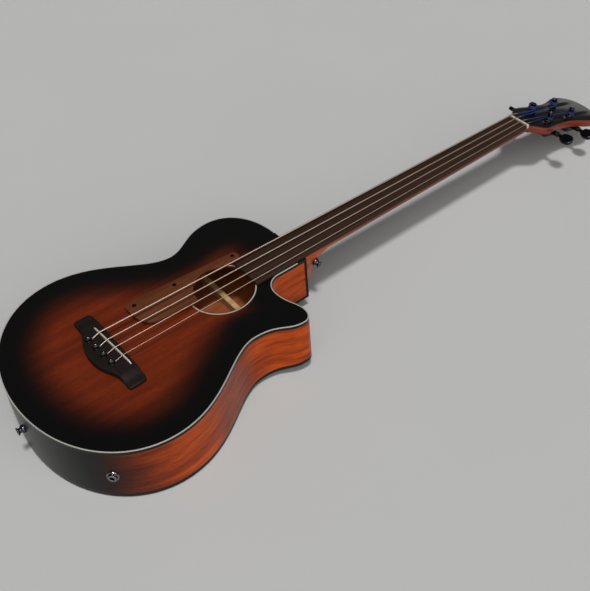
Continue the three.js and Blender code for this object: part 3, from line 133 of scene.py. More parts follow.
knob_stem_radius, knob_stem_length, knob_length, knob_lap, knob_edge = 3.2, 7.0, 23.0, 1.7, 1.75
knob_half_width, knob_waist_half, knob_thickness, knob_turn = 10.5, 6.0, 7.0, 28.0

# Finger rest
rest_gap, rest_thickness, rest_tail_x, rest_tail_half = 3.0, 3.0, 53.0, 62.0
rest_head_x, rest_head_half, rest_inner_y, rest_low_y = 243.5, 50.0, 34.5, -3.4
rest_low_x, rest_low_tail_x, rest_hole_radius, rest_corner = 127.0, 76.0, 41.0, 9.0
rest_screw_places = ((65.0, 50.0), (133.0, 47.5), (234.5, 42.5))
rest_screw_radius, rest_screw_head, rest_screw_tip = 1.2, 3.1, 2.4
rest_foot_radius, rest_foot_lap, rest_bite_steps = 3.4, 0.1, 128
rest_screw_dome = ((1, 0), (1, 0.25), (0.9, 0.7), (0.65, 1.08), (0.35, 1.25), (0, 1.3))
screw_cross_long, screw_cross_wide, screw_cross_floor, screw_cross_turn = 2.0, 0.3, 0.6, 25

# Strap buttons and jack
button_base_radius, button_waist_radius, button_flange_radius = 6.5, 3.8, 6.3
button_height, button_screw_radius, button_screw_length = 10.0, 1.8, 17.0
tail_button_drop, heel_button_drop, heel_button_x, heel_button_lift = 49.0, 25.5, 342.0, 0.3
jack_barrel_radius, jack_bore_radius, jack_length, jack_drop = 6.0, 3.3, 30.0, 52.0
jack_flange_radius, jack_flange, jack_collar_radius, jack_collar = 9.2, 2.2, 6.8, 3.6
jack_place, jack_way = (-96.559, -145.956), (0.700562, -0.713591)

# Where the black spray starts and where it covers, and where painted shade darkens the sides' waist and the
# neck: in from the edge, along X, and out from the middle
top_rim_spray, back_rim_spray, top_spray_power, spray_above = (14.0, 88.0), (22.0, 70.0), 1.8, 0.5
chest_spray, shoulder_spray = ((160.0, 200.0), (55.0, 105.0)), ((195.0, 300.0), (20.0, 50.0))
waist_spray, horn_spray = ((120.0, 165.0), (45.0, 90.0)), ((194.0, 224.0), (15.0, 40.0))
side_tail_spray, side_tail_power, side_corner_spray = (-120.0, 5.0), 0.8, (314.0, 315.0)
# Painted shade in the hollow of the sides' waist: how dark, and where along X it comes and goes
side_waist_shade_share, side_waist_shade_in, side_waist_shade_out = 0.35, (35.0, 85.0), (125.0, 165.0)
# Painted shade on the neck: how dark it grows, and where along X
neck_shade_share, neck_shade = 0.85, (345.0, 430.0)

# What follows from these
top_z = body_depth
top_under = top_z - top_thickness
nut_x = scale_length
board_slope = math.tan(math.radians(neck_set_angle))
saddle_top = top_z + string_rise_saddle - seat_gap
saddle_slope = math.tan(math.radians(saddle_slant))
bridge_low = top_z + seat_gap
neck_start = joint_x + seat_gap
worm_lead = 2 * math.pi * gear_pitch_radius / gear_teeth
saddle_y = [share * string_spacing_saddle for share in (1.5, 0.5, -0.5, -1.5)]
nut_y = [share * string_spacing_nut for share in (1.5, 0.5, -0.5, -1.5)]

# Points nearer to each other than this are joined, and a turned piece closes at this radius
weld_reach, least_radius = 0.002, 0.0001
# Cutting shapes reach this far past what they cut
cut_past = 5.0
# Width, steps and least angle of the rounded edges
rest_edge, nut_edge, neck_edge = (0.6, 3, 40.0), (0.25, 2, 50.0), (0.5, 2, 50.0)


# Materials

# An sRGB hex value as a linear colour
def linear(code):
    channels = [int(code[start:start + 2], 16) / 255 for start in (1, 3, 5)]
    return tuple(c / 12.92 if c <= 0.04045 else ((c + 0.055) / 1.055) ** 2.4 for c in channels) + (1.0,)


# Adds a node with its settings, its ramp's stops, and a link or a value for each input
def add_node(tree, kind, inputs=None, stops=None, **settings):
    node = tree.nodes.new(kind)
    for name, value in settings.items():
        setattr(node, name, value)
    for index, (position, colour) in enumerate(stops or ()):
        element = node.color_ramp.elements[index] if index < 2 else node.color_ramp.elements.new(position)
        element.position = position
        element.color = colour
    for name, value in (inputs or {}).items():
        if isinstance(value, bpy.types.NodeSocket):
            tree.links.new(value, node.inputs[name])
        else:
            node.inputs[name].default_value = value
    return node


# A new material, its emptied tree, and each point's place on the piece
def begin_finish(name):
    material = bpy.data.materials.new(name)
    material.use_nodes = True
    tree = material.node_tree
    tree.nodes.clear()
    return material, tree, add_node(tree, "ShaderNodeTexCoord").outputs["Object"]


# The shader takes each link or value on its own socket
def end_finish(tree, look):
    shader = add_node(tree, "ShaderNodeBsdfPrincipled", look)
    add_node(tree, "ShaderNodeOutputMaterial", {"Surface": shader.outputs["BSDF"]})


figure_noise, figure_edges = {"Detail": 4.0, "Roughness": 0.6, "Distortion": 0.4}, (0.35, 0.65)
pore_noise, pore_edges, pore_depth = {"Detail": 3.0, "Roughness": 0.7}, (0.42, 0.56), 0.05
lacquer_ior = 1.42


# Straight grain: long soft bands, dark pores as short dashes, and a fine bump of the pores. Bands and
# pores are given by their length, width and depth in millimetres. A spray colour covers the wood by
# each point's own share in "burst", under a clear lacquer; on the neck and the sides' waist that share is
# painted shade.
def wood(name, pale, deep, pore, band=(180.0, 9.0, 9.0), pores=(14.0, 0.5, 0.5), pore_share=0.35,
         roughness=0.5, shine=0.5, bump=0.15, spray=None):
    material, tree, place = begin_finish(name)
    noises = []
    for sizes, kind in ((band, figure_noise), (pores, pore_noise)):
        fitted = add_node(tree, "ShaderNodeMapping", {
            "Vector": place, "Scale": [1 / (size * MM) for size in sizes]})
        noises.append(add_node(tree, "ShaderNodeTexNoise", {
            "Vector": fitted.outputs["Vector"], "Scale": 1.0, **kind}).outputs["Fac"])
    figure, grain = noises
    tint = add_node(tree, "ShaderNodeValToRGB", {"Fac": figure},
                    stops=zip(figure_edges, (linear(deep), linear(pale))))
    mask = add_node(tree, "ShaderNodeValToRGB", {"Fac": grain},
                    stops=zip(pore_edges, ((1, 1, 1, 1), (0, 0, 0, 1))))
    share = add_node(tree, "ShaderNodeMath", {0: mask.outputs["Color"], 1: pore_share}, operation="MULTIPLY")
    colour = add_node(tree, "ShaderNodeMix", {
        "Factor": share.outputs["Value"], "A": tint.outputs["Color"], "B": linear(pore)}, data_type="RGBA")
    relief = add_node(tree, "ShaderNodeBump", {
        "Height": grain, "Strength": bump, "Distance": pore_depth * MM})
    look = {"Base Color": colour.outputs["Result"], "Normal": relief.outputs["Normal"],
            "Roughness": roughness, "Specular IOR Level": shine}
    if spray:
        # The "burst" share is black spray, and painted shade on the neck and the sides' waist
        burst = add_node(tree, "ShaderNodeAttribute", attribute_name="burst")
        sprayed_and_shaded = add_node(tree, "ShaderNodeMix", {
            "Factor": burst.outputs["Fac"], "A": colour.outputs["Result"], "B": linear(spray)},
            data_type="RGBA")
        look.update({"Base Color": sprayed_and_shaded.outputs["Result"], "IOR": lacquer_ior})
    end_finish(tree, look)
    return material


gleam_spread, mottle_share, mottle_depth = 0.1, 12, 0.02


# Plastic, bone, metal, solid lacquer, thread or paper: one colour clouded by a second, a gleam that
# varies with the cloud, and a fine mottled bump. The cloud's spots are given in millimetres.
def clouded(name, colour, cloud, roughness=0.3, metallic=0.0, shine=0.5, spot=6.0, bump=0.05):
    material, tree, place = begin_finish(name)
    noise = add_node(tree, "ShaderNodeTexNoise", {
        "Vector": place, "Scale": 1 / (spot * MM), "Detail": 4.0}).outputs["Fac"]
    tint = add_node(tree, "ShaderNodeMix", {
        "Factor": noise, "A": linear(colour), "B": linear(cloud)}, data_type="RGBA")
    gleam = add_node(tree, "ShaderNodeMapRange", {
        "Value": noise, "To Min": roughness * (1 - gleam_spread), "To Max": roughness * (1 + gleam_spread)})
    mottle = add_node(tree, "ShaderNodeTexNoise", {
        "Vector": place, "Scale": mottle_share / (spot * MM), "Detail": 2.0})
    relief = add_node(tree, "ShaderNodeBump", {
        "Height": mottle.outputs["Fac"], "Strength": bump, "Distance": mottle_depth * MM})
    end_finish(tree, {
        "Base Color": tint.outputs["Result"], "Roughness": gleam.outputs["Result"],
        "Normal": relief.outputs["Normal"], "Metallic": metallic, "Specular IOR Level": shine})
    return material


# A wave texture of scale 1 has a band every 0.314
wave_band, winding_strength, winding_depth = 0.314, 0.4, 0.12


# Round wire wound close on a core: a painted highlight on the crest and a painted shade in the groove of each
# turn, over a ribbed bump
def wound_wire(name, crest_highlight, groove_shade, pitch, roughness):
    material, tree, place = begin_finish(name)
    turns = add_node(tree, "ShaderNodeTexWave", {"Vector": place, "Scale": wave_band / (pitch * MM)},
                     wave_type="BANDS", bands_direction="X", wave_profile="SIN").outputs["Fac"]
    tint = add_node(tree, "ShaderNodeMix", {
        "Factor": turns, "A": linear(groove_shade), "B": linear(crest_highlight)}, data_type="RGBA")
    relief = add_node(tree, "ShaderNodeBump", {
        "Height": turns, "Strength": winding_strength, "Distance": winding_depth * MM})
    end_finish(tree, {"Base Color": tint.outputs["Result"], "Normal": relief.outputs["Normal"],
                      "Metallic": 1.0, "Roughness": roughness})
    return material


# Pores of mahogany and walnut are 0.2 mm wide. All woods here draw them 0.45 mm or wider, so that they
# show as fine dark dashes and not as noise.

# Mahogany under sprayed and buffed lacquer: red-brown figure deep under a mirror, black at the edge
top_lacquer = wood(
    "gloss_burst_on_mahogany_top", "#6c260c", "#561c08", "#3a1206", (260.0, 14.0, 30.0), (9.0, 0.8, 3.0),
    roughness=0.18, bump=0.04, spray="#050404")
back_lacquer = wood(
    "gloss_burst_on_mahogany_back", "#7c3010", "#5c220d", "#3f1509", (260.0, 14.0, 30.0), (9.0, 0.8, 3.0),
    roughness=0.18, bump=0.04, spray="#060505")
# Bent mahogany, the same lacquer: orange stripes run round the body, with a softer mirror, because a
# sharp one would fill the curves with the pale floor
# Its spray colour also lays a painted shade over the hollow of the waist
side_lacquer = wood(
    "gloss_burst_on_mahogany_sides_with_painted_shade", "#c24d08", "#7a2a06", "#481603", (110.0, 110.0, 13.0),
    (12.0, 12.0, 0.8), roughness=0.3, shine=0.2, bump=0.04, spray="#050303")
# Mahogany stained and rubbed to a satin lacquer: long orange bands and a soft gleam along the neck. Its spray
# colour is a painted shade that darkens the neck towards the head, so the heel stays lighter where light
# falls on it
neck_lacquer = wood(
    "satin_stain_on_mahogany_neck_with_painted_shade", "#bd5210", "#8f3a0b", "#5a2008", (260.0, 10.0, 10.0),
    (15.0, 0.6, 0.6), roughness=0.34, bump=0.04, spray="#5a1d12")
# Mahogany sawn and sanded, without a finish: dry mid brown, no gleam
bare_mahogany = wood("bare_mahogany", "#a05325", "#89441b", "#612a0d", roughness=0.65)
# Split spruce, planed: straw yellow with straight year lines 2 mm apart
bare_spruce = wood("bare_spruce", "#cba878", "#b8935f", "#9c7546", (120.0, 2.2, 2.2), (30.0, 0.6, 0.6),
                   pore_share=0.15, roughness=0.65)
# Maple, planed: pale, close and plain
bare_maple = wood("bare_maple", "#d6b78a", "#c6a374", "#ab8656", (90.0, 6.0, 6.0), (12.0, 0.5, 0.5),
                  pore_share=0.2, roughness=0.6)
# Dark walnut, sanded and oiled: nearly black, dull, with open pores across the body
bridge_walnut = wood("oiled_dark_walnut_bridge", "#1f1613", "#17100d", "#0c0807", (5.0, 200.0, 5.0),
                     (0.45, 9.0, 0.45), pore_share=0.6, roughness=0.6, shine=0.12, bump=0.2)
# The same walnut with its grain along the strings: dark brown with a broad soft sheen
board_walnut = wood("oiled_dark_walnut_board", "#35241a", "#291b12", "#180e09", (200.0, 4.0, 4.0),
                    (9.0, 0.45, 0.45), pore_share=0.5, roughness=0.55, shine=0.15, bump=0.2)
# Walnut veneer under thin satin lacquer: red-brown bands with a low gleam
rest_walnut = wood("satin_walnut_veneer", "#643318", "#4e2711", "#34190b", (160.0, 8.0, 8.0),
                   (12.0, 0.6, 0.6), pore_share=0.45, roughness=0.42, shine=0.35, bump=0.1)
# Celluloid strip, scraped flush and buffed: cream, slightly clouded, smooth
cream_celluloid = clouded("cream_celluloid", "#a09d93", "#94918a", roughness=0.3, spot=20.0)
# Celluloid strip in black: deep and even, with a weak mirror
black_celluloid = clouded("black_celluloid", "#0b0b0a", "#121110", roughness=0.25, shine=0.2, spot=20.0)
# Black lacquer, sprayed and buffed on veneer: the glassiest place on the object
gloss_black_lacquer = clouded("gloss_black_lacquer", "#0a0707", "#0d0909", roughness=0.12, shine=0.3,
                              spot=40.0, bump=0.02)
# Bone, sawn, filed and polished: off-white with faint clouds and a dull gleam
cut_bone = clouded("cut_bone", "#bcb4aa", "#aba398", roughness=0.42, spot=8.0)
# ABS, moulded and tumbled: black, with one sharp highlight on each round head
black_abs = clouded("moulded_black_abs", "#090909", "#0d0d0d", roughness=0.1, spot=10.0, bump=0.02)
# Nickel plate on turned brass: grey mirror with a warm haze, its colour darkened as a painted shade for the
# dark surroundings it mirrors
nickel_painted_dark = clouded("nickel_painted_dark_jack", "#858486", "#737274", roughness=0.16, metallic=1.0, spot=12.0,
                      bump=0.02)
# Black nickel plate on turned steel: dark grey metal with soft bright edges
black_nickel = clouded("black_nickel_plate", "#57575b", "#434347", roughness=0.22, metallic=1.0, bump=0.02)
# Black chrome plate on a polished casting: smoky mirror
black_chrome = clouded("black_chrome", "#37373b", "#29292d", roughness=0.2, metallic=1.0, spot=12.0,
                       bump=0.02)
# Steel, turned and left bare: plain grey with a blurred shine
plain_steel = clouded("plain_steel", "#8f8f92", "#7d7d80", roughness=0.35, metallic=1.0, spot=8.0)
# Screw steel, hardened and blued: almost black with a cold glint
blued_steel = clouded("blued_steel_screw", "#1b1b1e", "#111113", roughness=0.3, metallic=1.0, spot=4.0)
# Brass, turned: yellow, with a soft shine
brass_ball = clouded("turned_brass_ball", "#b8923f", "#9d7a31", roughness=0.3, metallic=1.0)
# Tinned copper wire, braided: dull and rough. Its 0.2 mm wires are drawn as 2 mm knots, so that they show.
braided_shield = clouded("braided_shield", "#8a8a8c", "#6f6f72", roughness=0.5, metallic=1.0, spot=2.0,
                         bump=0.4)
# Bronze wire wound on a steel core: pale copper with a fine ribbed glitter. Its 0.4 mm turns are drawn
# 0.7 mm apart, so that they show.
# The crest and groove colours are a painted highlight and a painted shade on each turn
bronze_winding = wound_wire("bronze_winding", "#c6b0a3", "#9f8c7c", 0.7, 0.45)
# Silk thread wrapped round the string: dark blue and matt. Its 0.1 mm threads are drawn as 1.5 mm
# bundles, so that they show.
blue_silk = clouded("blue_silk_thread", "#0f2766", "#0a1b48", roughness=0.6, spot=1.5, bump=0.5)
# Uncoated paper: pale grey, flat and without a shine
studio_paper = clouded("matt_paper_floor", "#aeaead", "#aaaaa9", roughness=0.8, spot=300.0, bump=0.0)


# Shapes

def linked(obj):
    bpy.context.scene.collection.objects.link(obj)
    return obj


# Joins points that lie on each other, and turns every face outwards
def weld(mesh):
    work = bmesh.new()
    work.from_mesh(mesh)
    bmesh.ops.remove_doubles(work, verts=work.verts, dist=weld_reach * MM)
    bmesh.ops.recalc_face_normals(work, faces=work.faces)
    work.to_mesh(mesh)
    work.free()


def shape_from(name, points, faces):
    mesh = bpy.data.meshes.new(name)
    mesh.from_pydata([Vector(point) * MM for point in points], [], faces)
    weld(mesh)
    return linked(bpy.data.objects.new(name, mesh))


def settled_mesh(obj):
    depsgraph = bpy.context.evaluated_depsgraph_get()
    return bpy.data.meshes.new_from_object(obj.evaluated_get(depsgraph))


def settle(obj):
    obj.data = settled_mesh(obj)
    obj.modifiers.clear()
    return obj


# Cuts the tools from a piece, or joins them to it, and removes them
def carve(obj, tools, operation="DIFFERENCE"):
    for tool in tools:
        modifier = obj.modifiers.new("carve", "BOOLEAN")
        modifier.operation = operation
        modifier.solver = "EXACT"
        modifier.object = tool
    settle(obj)
    for tool in tools:
        bpy.data.objects.remove(tool)
    return obj


def soften(obj, width, segments, angle):
    modifier = obj.modifiers.new("soften", "BEVEL")
    modifier.width = width * MM
    modifier.segments = segments
    modifier.limit_method = "ANGLE"
    modifier.angle_limit = math.radians(angle)
    return settle(obj)


# Skin over closed rings of points, with a cap on both ends if wanted
def loft(name, rings, ends=True):
    count = len(rings[0])
    points = [point for ring in rings for point in ring]
    faces = []
    for start in range(0, len(points) - count, count):
        for side in range(count):
            a, b = start + side, start + (side + 1) % count
            faces.append((a, b, b + count, a + count))
    if ends:
        faces.append(tuple(range(count)))
        faces.append(tuple(range(len(points) - count, len(points))))
    return shape_from(name, points, faces)


# Flat plate between two heights from an outer loop and its holes, its edges rounded
def plate(name, loops, low, high, edge=0.0):
    curve = bpy.data.curves.new(name, "CURVE")
    curve.dimensions = "2D"
    curve.fill_mode = "BOTH"
    curve.extrude = ((high - low) / 2 - edge) * MM
    curve.bevel_depth = edge * MM
    curve.bevel_resolution = 2
    curve.offset = -edge * MM
    for loop in loops:
        spline = curve.splines.new("POLY")
        spline.points.add(len(loop) - 1)
        for point, place in zip(spline.points, loop):
            point.co = (place[0] * MM, place[1] * MM, 0, 1)
        spline.use_cyclic_u = True
    sketch = linked(bpy.data.objects.new(name, curve))
    mesh = settled_mesh(sketch)
    bpy.data.objects.remove(sketch)
    for vertex in mesh.vertices:
        vertex.co.z += (low + high) / 2 * MM
    weld(mesh)
    return linked(bpy.data.objects.new(name, mesh))


# Cuts large faces into squares, so that spray and arch can follow them
def slice_up(obj, step):
    work = bmesh.new()
    work.from_mesh(obj.data)
    for axis in (0, 1):
        places = [vertex.co[axis] / MM for vertex in work.verts]
        line = math.ceil(min(places) / step) * step
        while line < max(places):
            middle, normal = Vector((0, 0, 0)), Vector((0, 0, 0))
            middle[axis], normal[axis] = line * MM, 1.0
            bmesh.ops.bisect_plane(work, geom=work.verts[:] + work.edges[:] + work.faces[:], dist=1e-7,
                                   plane_co=middle, plane_no=normal)
            line += step
    work.to_mesh(obj.data)
    work.free()
    return obj


# Turned about Z from (radius, height) pairs. Small numbers in a profile are the rounds and tapers
# between its named diameters.
def turned(name, profile, steps=32):
    rings = [[(*point, height) for point in circle(0, 0, max(radius, least_radius), steps)]
             for radius, height in profile]
    return loft(name, rings, ends=profile[0][0] == 0)


def rod(name, radius, low, high, steps=32):
    return turned(name, [(0, low), (radius, low), (radius, high), (0, high)], steps)


def block(name, low, high):
    corners = ((low[1], low[2]), (high[1], low[2]), (high[1], high[2]), (low[1], high[2]))
    return loft(name, [[(x, y, z) for y, z in corners] for x in (low[0], high[0])])


def placed(obj, matrix):
    scaled = matrix.copy()
    scaled.translation = matrix.translation * MM
    obj.data.transform(scaled)
    return obj


# Gives a piece its finish and says which solid of the frame it stands for
def finish(obj, materials, node, body="instrument", angle=35.0):
    obj.data.materials.clear()
    for material in materials if isinstance(materials, list) else [materials]:
        obj.data.materials.append(material)
    obj.data.shade_smooth()
    obj.data.set_sharp_from_angle(angle=math.radians(angle))
    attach(obj, body)
    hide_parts(node)
    return obj


# A face looks up or down when its normal has more than this along Z
flat_share = 0.5


# Gives the faces that the test picks the piece's second material
def finish_inside(obj, test):
    for polygon in obj.data.polygons:
        polygon.material_index = int(test(polygon))


# Gives a carried-over solid its finish
def dress(node, material):
    obj = bpy.data.objects[node]
    if not obj.material_slots:
        obj.data.materials.append(material)
    for place in obj.material_slots:
        place.material = material


# Curves that the outlines are drawn with

# From a to d, leaving towards b and arriving from c. The last point is left to the next curve.
def sweep(a, b, c, d, steps):
    run = []
    for step in range(steps):
        t = step / steps
        u = 1 - t
        run.append(tuple(u ** 3 * p + 3 * u * u * t * q + 3 * u * t * t * r + t ** 3 * s
                         for p, q, r, s in zip(a, b, c, d)))
    return run


# From a to c round the corner b
def bow(a, b, c, steps):
    run = []
    for step in range(steps):
        t = step / steps
        u = 1 - t
        run.append(tuple(u * u * p + 2 * u * t * q + t * t * r for p, q, r in zip(a, b, c)))
    return run


def bends(*parts):
    return [point for part in parts for point in bow(*part)]


# From start to end, leaving along one axis and arriving along another
def ease(start, end, start_axis, end_axis, shares, steps=24):
    lead_out, lead_in = list(start), list(end)
    lead_out[start_axis] += (end[start_axis] - start[start_axis]) * shares[0]
    lead_in[end_axis] -= (end[end_axis] - start[end_axis]) * shares[1]
    return sweep(start, lead_out, lead_in, end, steps)


def backwards(shares):
    return tuple(reversed(shares))


# Point on the way from a to b
def between(a, b, share):
    return tuple(p + (q - p) * share for p, q in zip(a, b))


# 0 below low, 1 above high, and a soft step from one to the other
def fade(value, low, high):
    share = min(1.0, max(0.0, (value - low) / (high - low)))
    return share * share * (3 - 2 * share)


# Angles are degrees, and both ends are drawn
def arc(x, y, radius, start, end, steps):
    angles = [math.radians(start + (end - start) * step / steps) for step in range(steps + 1)]
    return [(x + radius * math.cos(angle), y + radius * math.sin(angle)) for angle in angles]


def circle(x, y, radius, steps=96):
    return arc(x, y, radius, 0, 360, steps)[:-1]


# Quarter round between a turned side and its flat end
def rounded_rim(radius, high, rim):
    return arc(radius - rim, high - rim, rim, 0, 90, 4)


# The loop moved inwards by an even distance
def inset(points, distance):
    area = sum(a[0] * b[1] - b[0] * a[1] for a, b in zip(points, points[1:] + points[:1]))
    inward = 1 if area > 0 else -1
    moved = []
    for before, point, after in zip(points[-1:] + points[:-1], points, points[1:] + points[:1]):
        first = (Vector(point) - Vector(before)).normalized()
        second = (Vector(after) - Vector(point)).normalized()
        normals = Vector((-first.y - second.y, first.x + second.x))
        moved.append(tuple(Vector(point) + normals * inward * distance / (1 + first.dot(second))))
    return moved


# From the tail round by the bass side, the neck joint, the cutaway and its horn
def body_outline():
    tail, hip = (-tail_reach, 0.0), (lower_bout_x, lower_bout_half)
    waist, chest = (waist_x, waist_half), (upper_bout_x, upper_bout_half)
    shoulder, corner = (joint_x, shoulder_half), (joint_x, -cutaway_end_half)
    cut_end, cut_deep = (cutaway_end_x, -cutaway_end_half), (cutaway_x, -cutaway_half)
    tip, horn = (horn_tip_x, -horn_tip_half), (horn_x, -horn_half)
    low_waist, low_hip = (waist_x, -waist_half), (lower_bout_x, -lower_bout_half)
    return (
        ease(tail, hip, 1, 0, tail_shares, 40) + ease(hip, waist, 0, 0, hip_shares, 36)
        + ease(waist, chest, 0, 0, chest_shares) + ease(chest, shoulder, 0, 1, shoulder_shares, 30)
        + [between(shoulder, corner, share / 8) for share in range(8)]
        + [between(corner, cut_end, share / 40) for share in range(40)]
        + ease(cut_end, cut_deep, 0, 1, backwards(cutaway_heel_shares))
        + ease(cut_deep, tip, 1, 1, backwards(cutaway_shares))
        + ease(tip, horn, 1, 0, backwards(horn_nose_shares), 16)
        + ease(horn, low_waist, 0, 0, backwards(horn_back_shares))
        + ease(low_waist, low_hip, 0, 0, backwards(hip_shares), 36)
        + ease(low_hip, tail, 0, 1, backwards(tail_shares), 40))


# Height of the arched back's outer face
def back_height(x, y):
    across = max(abs(y), arch_step)
    side_lift = (across ** 2 - arch_step ** 2) / (2 * cross_arch_radius)
    tail_share = max(0.0, (-x - tail_rise_from) / (tail_reach - tail_rise_from))
    return side_lift + tail_rise * tail_share ** 2 + neck_rise * fade(x, neck_rise_from, joint_x)


# Heights and half width of the fretboard along the neck
def board_under(x):
    return top_z + seat_gap - max(0.0, x - joint_x) * board_slope


def board_top(x):
    return board_under(x) + board_thickness


def board_half(x):
    return board_half_end + (board_half_nut - board_half_end) * (x - board_end_x) / (nut_x - board_end_x)


def neck_top(x):
    return board_under(x) - seat_gap


# Body

outline = body_outline()
ledge_line = inset(outline, binding_width)
edge_tree = KDTree(len(outline) * 4)
for index, (point, after) in enumerate(zip(outline, outline[1:] + outline[:1])):
    for quarter in range(4):
        edge_tree.insert((*between(point, after, quarter / 4), 0.0), index * 4 + quarter)
edge_tree.balance()


def from_edge(place):
    return edge_tree.find((place.x, place.y, 0.0))[2]


# Shares of black spray, and of painted shade on the sides' waist and the neck. On the top: an even rim, wider
# over the upper bout and the waist, and a black horn
def top_burst(place):
    if place.z <= top_under + spray_above:
        return 0.0
    clear = fade(from_edge(place), *top_rim_spray)
    for (along, out), side in ((chest_spray, 1), (shoulder_spray, 1), (waist_spray, -1), (horn_spray, -1)):
        clear *= 1.0 - fade(place.x, *along) * fade(side * place.y, *out)
    return 1.0 - clear ** top_spray_power


# On the sides: black spray at the tail and at the corner by the neck, and a thin painted shade in the hollow
# of the waist
def side_spray_and_shade(place):
    tail = 1.0 - fade(place.x, *side_tail_spray)
    # Painted shade: the hollow of the waist is darkened, as little light falls into it
    waist = fade(place.x, *side_waist_shade_in) * (1.0 - fade(place.x, *side_waist_shade_out))
    corner = fade(place.x, *side_corner_spray)
    return max(tail ** side_tail_power, side_waist_shade_share * waist, corner)


def back_burst(place):
    return 1.0 - fade(from_edge(place), *back_rim_spray)


# On the neck: a painted shade that darkens it away from the body, leaving the heel lighter where light falls
# on it
def neck_painted_shade(place):
    return neck_shade_share * fade(place.x, *neck_shade)


# Stores each point's share of the spray colour: black spray, and painted shade on the neck and the sides'
# waist
def paint_spray_and_shade(obj, share_at):
    burst = obj.data.attributes.new("burst", "FLOAT", "POINT")
    for vertex, value in zip(obj.data.vertices, burst.data):
        value.value = share_at(vertex.co / MM)


def beside_neck(polygon):
    middle = polygon.center / MM
    return middle.x > cream_end_x and abs(middle.y) < shoulder_half


def top_pieces():
    top = plate("top_plate", [ledge_line, circle(hole_x, 0, hole_radius)], top_under, top_z)
    slice_up(top, top_step)
    paint_spray_and_shade(top, top_burst)
    finish(top, [top_lacquer, bare_mahogany], "soundboard")
    finish_inside(top, lambda polygon: polygon.normal.z < -flat_share)
    ring = plate("hole_ring", [circle(hole_x, 0, ring_outer_radius), circle(hole_x, 0, ring_inner_radius)],
                 top_z - ring_depth, top_z + ring_stands_proud)
    finish(ring, cream_celluloid, "soundhole_ring")
    cream_line, cream_low = inset(outline, cream_width), top_z - cream_height
    cream = plate("edge_binding_cream", [outline, cream_line], cream_low, top_z, binding_edge)
    slice_up(cream, cream_end_x / cream_slices)
    finish(cream, [cream_celluloid, black_celluloid], "binding_top")
    finish_inside(cream, beside_neck)
    for name, outer, low, high in (("edge_line_black", cream_line, cream_low, top_z),
                                   ("edge_band_black", outline, top_z - binding_height, cream_low)):
        finish(plate(name, [outer, ledge_line], low, high), black_celluloid, "binding_top")


def side_pieces():
    rings = []
    for out, into in zip(outline, inset(outline, side_thickness)):
        low, high = back_height(*out) + binding_height, top_z - binding_height
        rings.append([(*out, low + (high - low) * row / wall_rows) for row in range(wall_rows + 1)]
                     + [(*into, low + (high - low) * row / 2) for row in (2, 1, 0)])
    wall = loft("side_wall", rings + rings[:1], ends=False)
    paint_spray_and_shade(wall, side_spray_and_shade)
    finish(wall, [side_lacquer, bare_mahogany], "sides", angle=50.0)
    finish_inside(wall, lambda polygon: from_edge(polygon.center / MM) >= side_thickness * inside_share)


def back_pieces():
    rings = [[(*out, back_height(*out)), (*out, back_height(*out) + binding_height),
              (*into, back_height(*out) + binding_height), (*into, back_height(*into))]
             for out, into in zip(outline, ledge_line)]
    back_edge = loft("back_binding", rings + rings[:1], ends=False)
    finish(back_edge, black_celluloid, "binding_back")
    back = plate("back_skin", [ledge_line], 0.0, back_thickness)
    slice_up(back, back_step)
    for vertex in back.data.vertices:
        vertex.co.z += back_height(vertex.co.x / MM, vertex.co.y / MM) * MM
    paint_spray_and_shade(back, back_burst)
    finish(back, [back_lacquer, bare_mahogany], "back_plate")
    finish_inside(back, lambda polygon: polygon.normal.z > flat_share)


def inner_pieces():
    for material, nodes in (
            (bare_mahogany, ("neck_block", "tail_block")),
            (bare_spruce, ("lining_top", "lining_back", "brace_x_bass", "brace_x_treble", "upper_brace",
                           "tone_bar", "back_brace_1", "back_brace_2", "back_brace_3", "back_brace_4")),
            (bare_maple, ("bridge_plate",)), (braided_shield, ("pickup_strip",)),
            (plain_steel, ("truss_rod", "jack_nut"))):
        for node in nodes:
            dress(node, material)


# Bridge, saddle and pins

def bridge_loop():
    half_corner = bridge_corner / 2
    bass = bends(
        ((bridge_front, bridge_half - bridge_corner), (bridge_front, bridge_half),
         (bridge_front - bridge_corner, bridge_half), 10),
        ((half_corner - bridge_wing_rear, bridge_half), (-bridge_wing_rear, bridge_half),
         (-bridge_wing_rear, bridge_half - half_corner), 8))
    bass += sweep((-bridge_wing_rear, bridge_belly_half),
                  (-bridge_wing_rear, bridge_belly_half * (1 - belly_shares[0])),
                  (-bridge_belly_rear, bridge_belly_half * belly_shares[1]), (-bridge_belly_rear, 0.0), 24)
    bass.append((-bridge_belly_rear, 0.0))
    return bass + [(x, -y) for x, y in reversed(bass[:-1])]


# Where a loop starts and ends along X at a given y
def span_at(loop, y):
    crossings = []
    for a, b in zip(loop, loop[1:] + loop[:1]):
        if (a[1] - y) * (b[1] - y) <= 0 and a[1] != b[1]:
            crossings.append(a[0] + (b[0] - a[0]) * (y - a[1]) / (b[1] - a[1]))
    return min(crossings), max(crossings)


def bridge_height(y):
    share = fade(abs(y), bridge_scoop_from, bridge_scoop_to)
    near_end = min(1.0, (bridge_half - abs(y)) / bridge_end_reach)
    drop = bridge_end_drop * (1 - math.sqrt(max(0.0, 1 - (1 - near_end) ** 2)))
    return bridge_thickness + (bridge_wing_thickness - bridge_thickness) * share - drop


